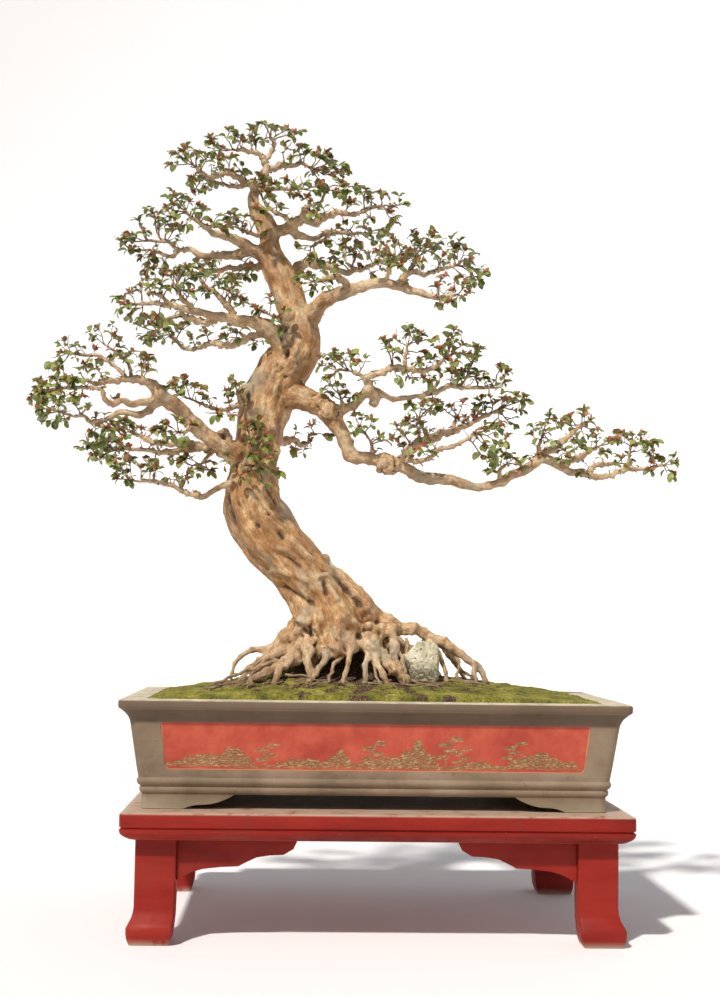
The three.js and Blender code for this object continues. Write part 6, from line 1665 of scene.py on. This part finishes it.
def make_pot():
    clay = pot_material()
    rings = [pot_ring(half, z) for z, half in arc_profile(POT_PROFILE, 9)]
    rings += [pot_ring(half, z, radius) for z, half, radius in POT_INSIDE]
    pot = build_mesh("pot_fired", *loft(rings), [clay])
    cutters = [prism(panel_outline(less), -12, PANEL_DEEP, lambda p, q=quarter, w=wall: on_wall(p, q, w))
               for _, quarter, less, wall in POT_SIDES]
    for x in (-DRAIN_X, DRAIN_X):
        circle = [(x + DRAIN_RADIUS * math.cos(a), DRAIN_RADIUS * math.sin(a))
                  for a in (k * math.pi / 16 for k in range(32))]
        cutters.append(prism(circle, 240, 280, lambda p: p[:, [0, 2, 1]] + (POT_X, 0, 0)))
    cut_with(pot, cutters)
    band = [pot_ring(half, z) for half, z in FOOT_BAND]
    points, faces = loft(band, capped=False)
    count = len(band[0])
    last = (len(band) - 1) * count
    faces += [[last + i, last + (i + 1) % count, (i + 1) % count, i] for i in range(count)]
    feet = build_mesh("feet", points, faces, [clay])
    cut_with(feet, [prism(foot_gap(BAND_HALF), -400, 400, turned(0)),
                    prism(foot_gap(BAND_HALF - DEPTH_LESS), -600, 600, turned(1))])
    cut_with(pot, [feet], "UNION")
    round_edges(pot, 1.1, 2, 32)
    # The rim's top is marked for painted sunlight, the feet's lower edge for wear.
    mark_worn(pot, lambda p: np.maximum(ease_between(413.2, 414.6, p[:, 2]),
                                        ease_between(228, 224.5, p[:, 2]) * 0.5))
    finish_piece(pot, "pot", "pot")


def round_edges(piece, width, segments, angle):
    modified(piece, "BEVEL", width=width * 0.001, segments=segments, limit_method="ANGLE",
             angle_limit=math.radians(angle), use_clamp_overlap=True)
    shade_smooth(piece.data, 38)


def mark_worn(piece, rule):
    set_attributes(piece.data, worn=clamp01(rule(mesh_points(piece.data))))


def picture(u, w, wide):
    """A made-up river landscape over a panel: how densely each point is drawn in, from 0 to 1.
    u is the distance along the panel from its middle, w the height up it, in millimetres."""
    p = np.column_stack([u, w, u * 0])
    rough = perlin(p / (8, 5, 1), 91) + 0.7 * perlin(p / (3.0, 2.4, 1), 92)
    drawn = np.zeros(len(u))
    for middle, reach, top, foot in HILLS:
        if abs(middle) > wide - 20:
            continue
        share = np.abs(u - middle) / reach
        ridge = 0.82 + 0.42 * perlin(p / (17, 400, 1), 96)
        crest = foot + (top - foot) * np.maximum(0, 1 - share ** 1.3) * ridge
        under = ease_between(0, 2.4, crest + 3.4 * rough - w)
        over = ease_between(foot - 6, foot + 2, w + 1.5 * rough)
        drawn = np.maximum(drawn, under * over * ease_between(1.25, 0.9, share) * (0.85 + 0.35 * rough))
    for middle, height, crown in PINES:
        if abs(middle) > wide - 30:
            continue
        lean = middle + 0.22 * (w - 10) + 2.4 * np.sin(w / 7)
        trunk = (ease_between(1.7, 0.6, np.abs(u - lean)) * ease_between(8, 11, w)
                 * ease_between(height, height - 4, w))
        drawn = np.maximum(drawn, trunk)
        for tier in range(4):
            side = (-1) ** tier * crown * 0.8
            apart = np.hypot((u - lean - side) / 2.0, (w - height + tier * crown * 0.95) * 1.5) + 2.2 * rough
            drawn = np.maximum(drawn, ease_between(crown * 0.8, crown * 0.3, apart) * 0.95)
    for height, left, right in BANKS:
        bent = height + 1.4 * np.sin(u / 27) + 0.9 * rough
        drawn = np.maximum(drawn, 0.9 * ease_between(2.4, 0.6, np.abs(w - bent))
                           * ease_between(left, left + 60, u) * ease_between(right, right - 60, u))
    return clamp01(drawn)


def corner_tuck(radius, from_edge):
    """How far a rounded corner draws the side in, at each distance from the edge that it rounds."""
    curve = radius - np.sqrt(np.maximum(0, radius ** 2 - (radius - from_edge) ** 2))
    return np.where(from_edge < radius, curve, 0)


def make_panels():
    paint = panel_material()
    for name, quarter, less, wall in POT_SIDES:
        bottom, top, height = panel_size(less)
        step, up = (1.35, 64) if name == "front" else (2.2, 40)
        across = int((2 * top) / step)
        u, w = np.meshgrid(np.linspace(-1, 1, across), np.linspace(0, 1, up))
        u, w = u.ravel(), w.ravel() * (height - 0.3) + 0.15
        half = bottom + (top - bottom) * w / height - 0.15
        half_here = half - (corner_tuck(PANEL_CORNER, w) + corner_tuck(PANEL_CREST, height - w))
        x = u * half_here
        drawn = picture(x if name != "back" else -x + 37, w, half.min())
        line = ease_between(2.6, 0.6, np.minimum(np.minimum(half_here - np.abs(x), w * 1.2), height - w + 3))
        deep = PANEL_DEEP - 0.75 - 0.2 * perlin(np.column_stack([x / 40, w / 30, x * 0]), 95)
        deep = deep + 0.4 * drawn - 0.3 * line
        piece = build_mesh(f"panel_{name}", on_wall(np.column_stack([x, deep, w]), quarter, wall),
                           grid_faces(up, across), [paint], picture=drawn, line=line * 0.8)
        finish_piece(piece, "pot")


def board_worn(p):
    """Most along the top's edge, a little under the board."""
    edge = np.minimum(np.minimum(BOARD_HALF - np.abs(p[:, 0]), p[:, 1] - BOARD_FRONT), BOARD_BACK - p[:, 1])
    top_face = ease_between(221.8, 223.6, p[:, 2])
    return top_face * (0.8 + 0.2 * ease_between(20, 4, edge)) + ease_between(179, BOARD_LOW, p[:, 2]) * 0.2


def make_board(lacquer):
    low, top = BOARD_LOW, BOARD_TOP
    profile = [(low, 90.0), (low, 45.0), (low, 20.0), (low + 1, 16.5)]
    profile += [(low + 2 + 16 * t, 14.5 * (1 - t) ** 2.4) for t in (k / 10 for k in range(11))]
    profile += [(195.6, 0), (196.2, 1.2), (196.9, 2.6), (197.6, 3), (198.6, 3), (199.3, 2.4), (199.9, 1.0),
                (200.5, 0), (top - 5, 0), (top - 3, 0.35), (top - 1.4, 1.3), (top - 0.4, 2.8), (top, 5),
                (top, 12), (top, 22), (top, 60)]
    rings = [rounded_ring(inset - BOARD_HALF, BOARD_HALF - inset, BOARD_FRONT + inset, BOARD_BACK - inset, z,
                          max(12 - 0.2 * inset, 1), 6) for z, inset in profile]
    board = build_mesh("board", *loft(rings), [lacquer])
    shade_smooth(board.data, 40)
    mark_worn(board, board_worn)
    finish_piece(board, "stand", "stand_board")


def make_stand():
    lacquer = lacquer_material()
    make_board(lacquer)
    points, faces = loft([rounded_ring(LEG_X - flare, LEG_X + inner, LEG_Y - forward, LEG_Y + LEG_DEEP, z,
                                       LEG_EDGE, 4) for z, flare, inner, forward in LEG_LEVELS])
    for back, right in product((0, 1), repeat=2):
        corner = ("front", "back")[back] + ("_left", "_right")[right]
        moved = points.copy()
        if right:
            moved[:, 0] *= -1
        if back:
            moved[:, 1] = BOARD_FRONT + BOARD_BACK - moved[:, 1]
        leg = build_mesh(f"leg_{corner}", moved, faces if right == back else [face[::-1] for face in faces],
                         [lacquer])
        shade_smooth(leg.data, 40)
        mark_worn(leg, lambda p: ease_between(9, 1, p[:, 2]) * 0.8)
        finish_piece(leg, "stand", f"stand_leg_{corner}")
        for kind in ("bracket", "side_bracket"):
            node = f"stand_{kind}_{corner}"
            piece = add_object(f"{kind}_{corner}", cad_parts[node].data.copy())
            piece.data.materials.clear()
            piece.data.materials.append(lacquer)
            modified(piece, "WELD", merge_threshold=0.00002)
            edit_mesh(piece.data, lambda flat: bmesh.ops.dissolve_limit(
                flat, angle_limit=math.radians(1), verts=flat.verts, edges=flat.edges))
            round_edges(piece, 1.3, 3, 40)
            set_attributes(piece.data, worn=0.0)
            finish_piece(piece, "stand", node)


# Stage, light and camera

def make_stage():
    """A round pale floor that rises into a pale wall far off."""
    below = 0.0006  # metres, as all sizes here
    profile = [(4.0, -below), (8.0, -below)]
    profile += [(8.0 + 2.0 * math.sin(a), 2.0 - 2.0 * math.cos(a))
                for a in (k * math.pi / 16 for k in range(1, 9))]
    profile.append((10.0, 6.5))
    around = 72
    points = [(r * math.cos(a), r * math.sin(a), z) for r, z in profile
              for a in (k * 2 * math.pi / around for k in range(around))]
    faces = [face[::-1] for face in ring_faces(len(profile), around, capped=False)]
    faces.append(list(range(around)))
    mesh = bpy.data.meshes.new("floor")
    mesh.from_pydata(points, [], faces)
    shade_smooth(mesh)
    mesh.materials.append(Shader("floor", Base_Color=(0.9, 0.9, 0.92, 1), Roughness=1.0).material)
    add_object("floor", mesh)


def make_light():
    world = bpy.data.worlds.new("sky")
    bpy.context.scene.world = world
    world.use_nodes = True
    sky = world.node_tree.nodes["Background"].inputs
    sky["Color"].default_value = (0.93, 0.96, 1.0, 1)
    sky["Strength"].default_value = 0.22
    sun = bpy.data.lights.new("sun", "SUN")
    sun.energy = 3.6
    sun.angle = math.radians(3)
    sun.color = (1.0, 0.95, 0.88)
    lamp = add_object("sun", sun)
    lamp.rotation_euler = Vector((0.40, 0.62, -0.86)).to_track_quat("-Z", "Y").to_euler()


def make_camera():
    yaw, pitch, roll = (math.radians(angle) for angle in (CAMERA_YAW, CAMERA_PITCH, CAMERA_ROLL))
    camera = bpy.data.cameras.new("camera")
    camera.sensor_width = SENSOR
    camera.lens = FOCAL_PIXELS / PICTURE_PIXELS * SENSOR
    camera.clip_start, camera.clip_end = 0.1, 60
    holder = add_object("camera", camera)
    holder.matrix_world = (Matrix.Translation(Vector(in_metres(CAMERA_AT))) @ Matrix.Rotation(-yaw, 4, "Z")
                           @ Matrix.Rotation(math.pi / 2 + pitch, 4, "X") @ Matrix.Rotation(roll, 4, "Z"))
    bpy.context.scene.camera = holder


def main():
    make_camera()
    make_stage()
    make_light()
    make_tree()
    for number, (name, (stems, tips)) in enumerate(SPRAYS.items()):
        make_spray(name, number, stems, tips)
    make_soil()
    make_rootlets()
    make_rock()
    make_pot()
    make_panels()
    make_stand()
    screens = screen_material()
    for name in ("drain_screen_left", "drain_screen_right"):
        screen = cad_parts[name].data
        screen.materials.clear()
        screen.materials.append(screens)
    bpy.context.scene.view_settings.view_transform = "Standard"


main()
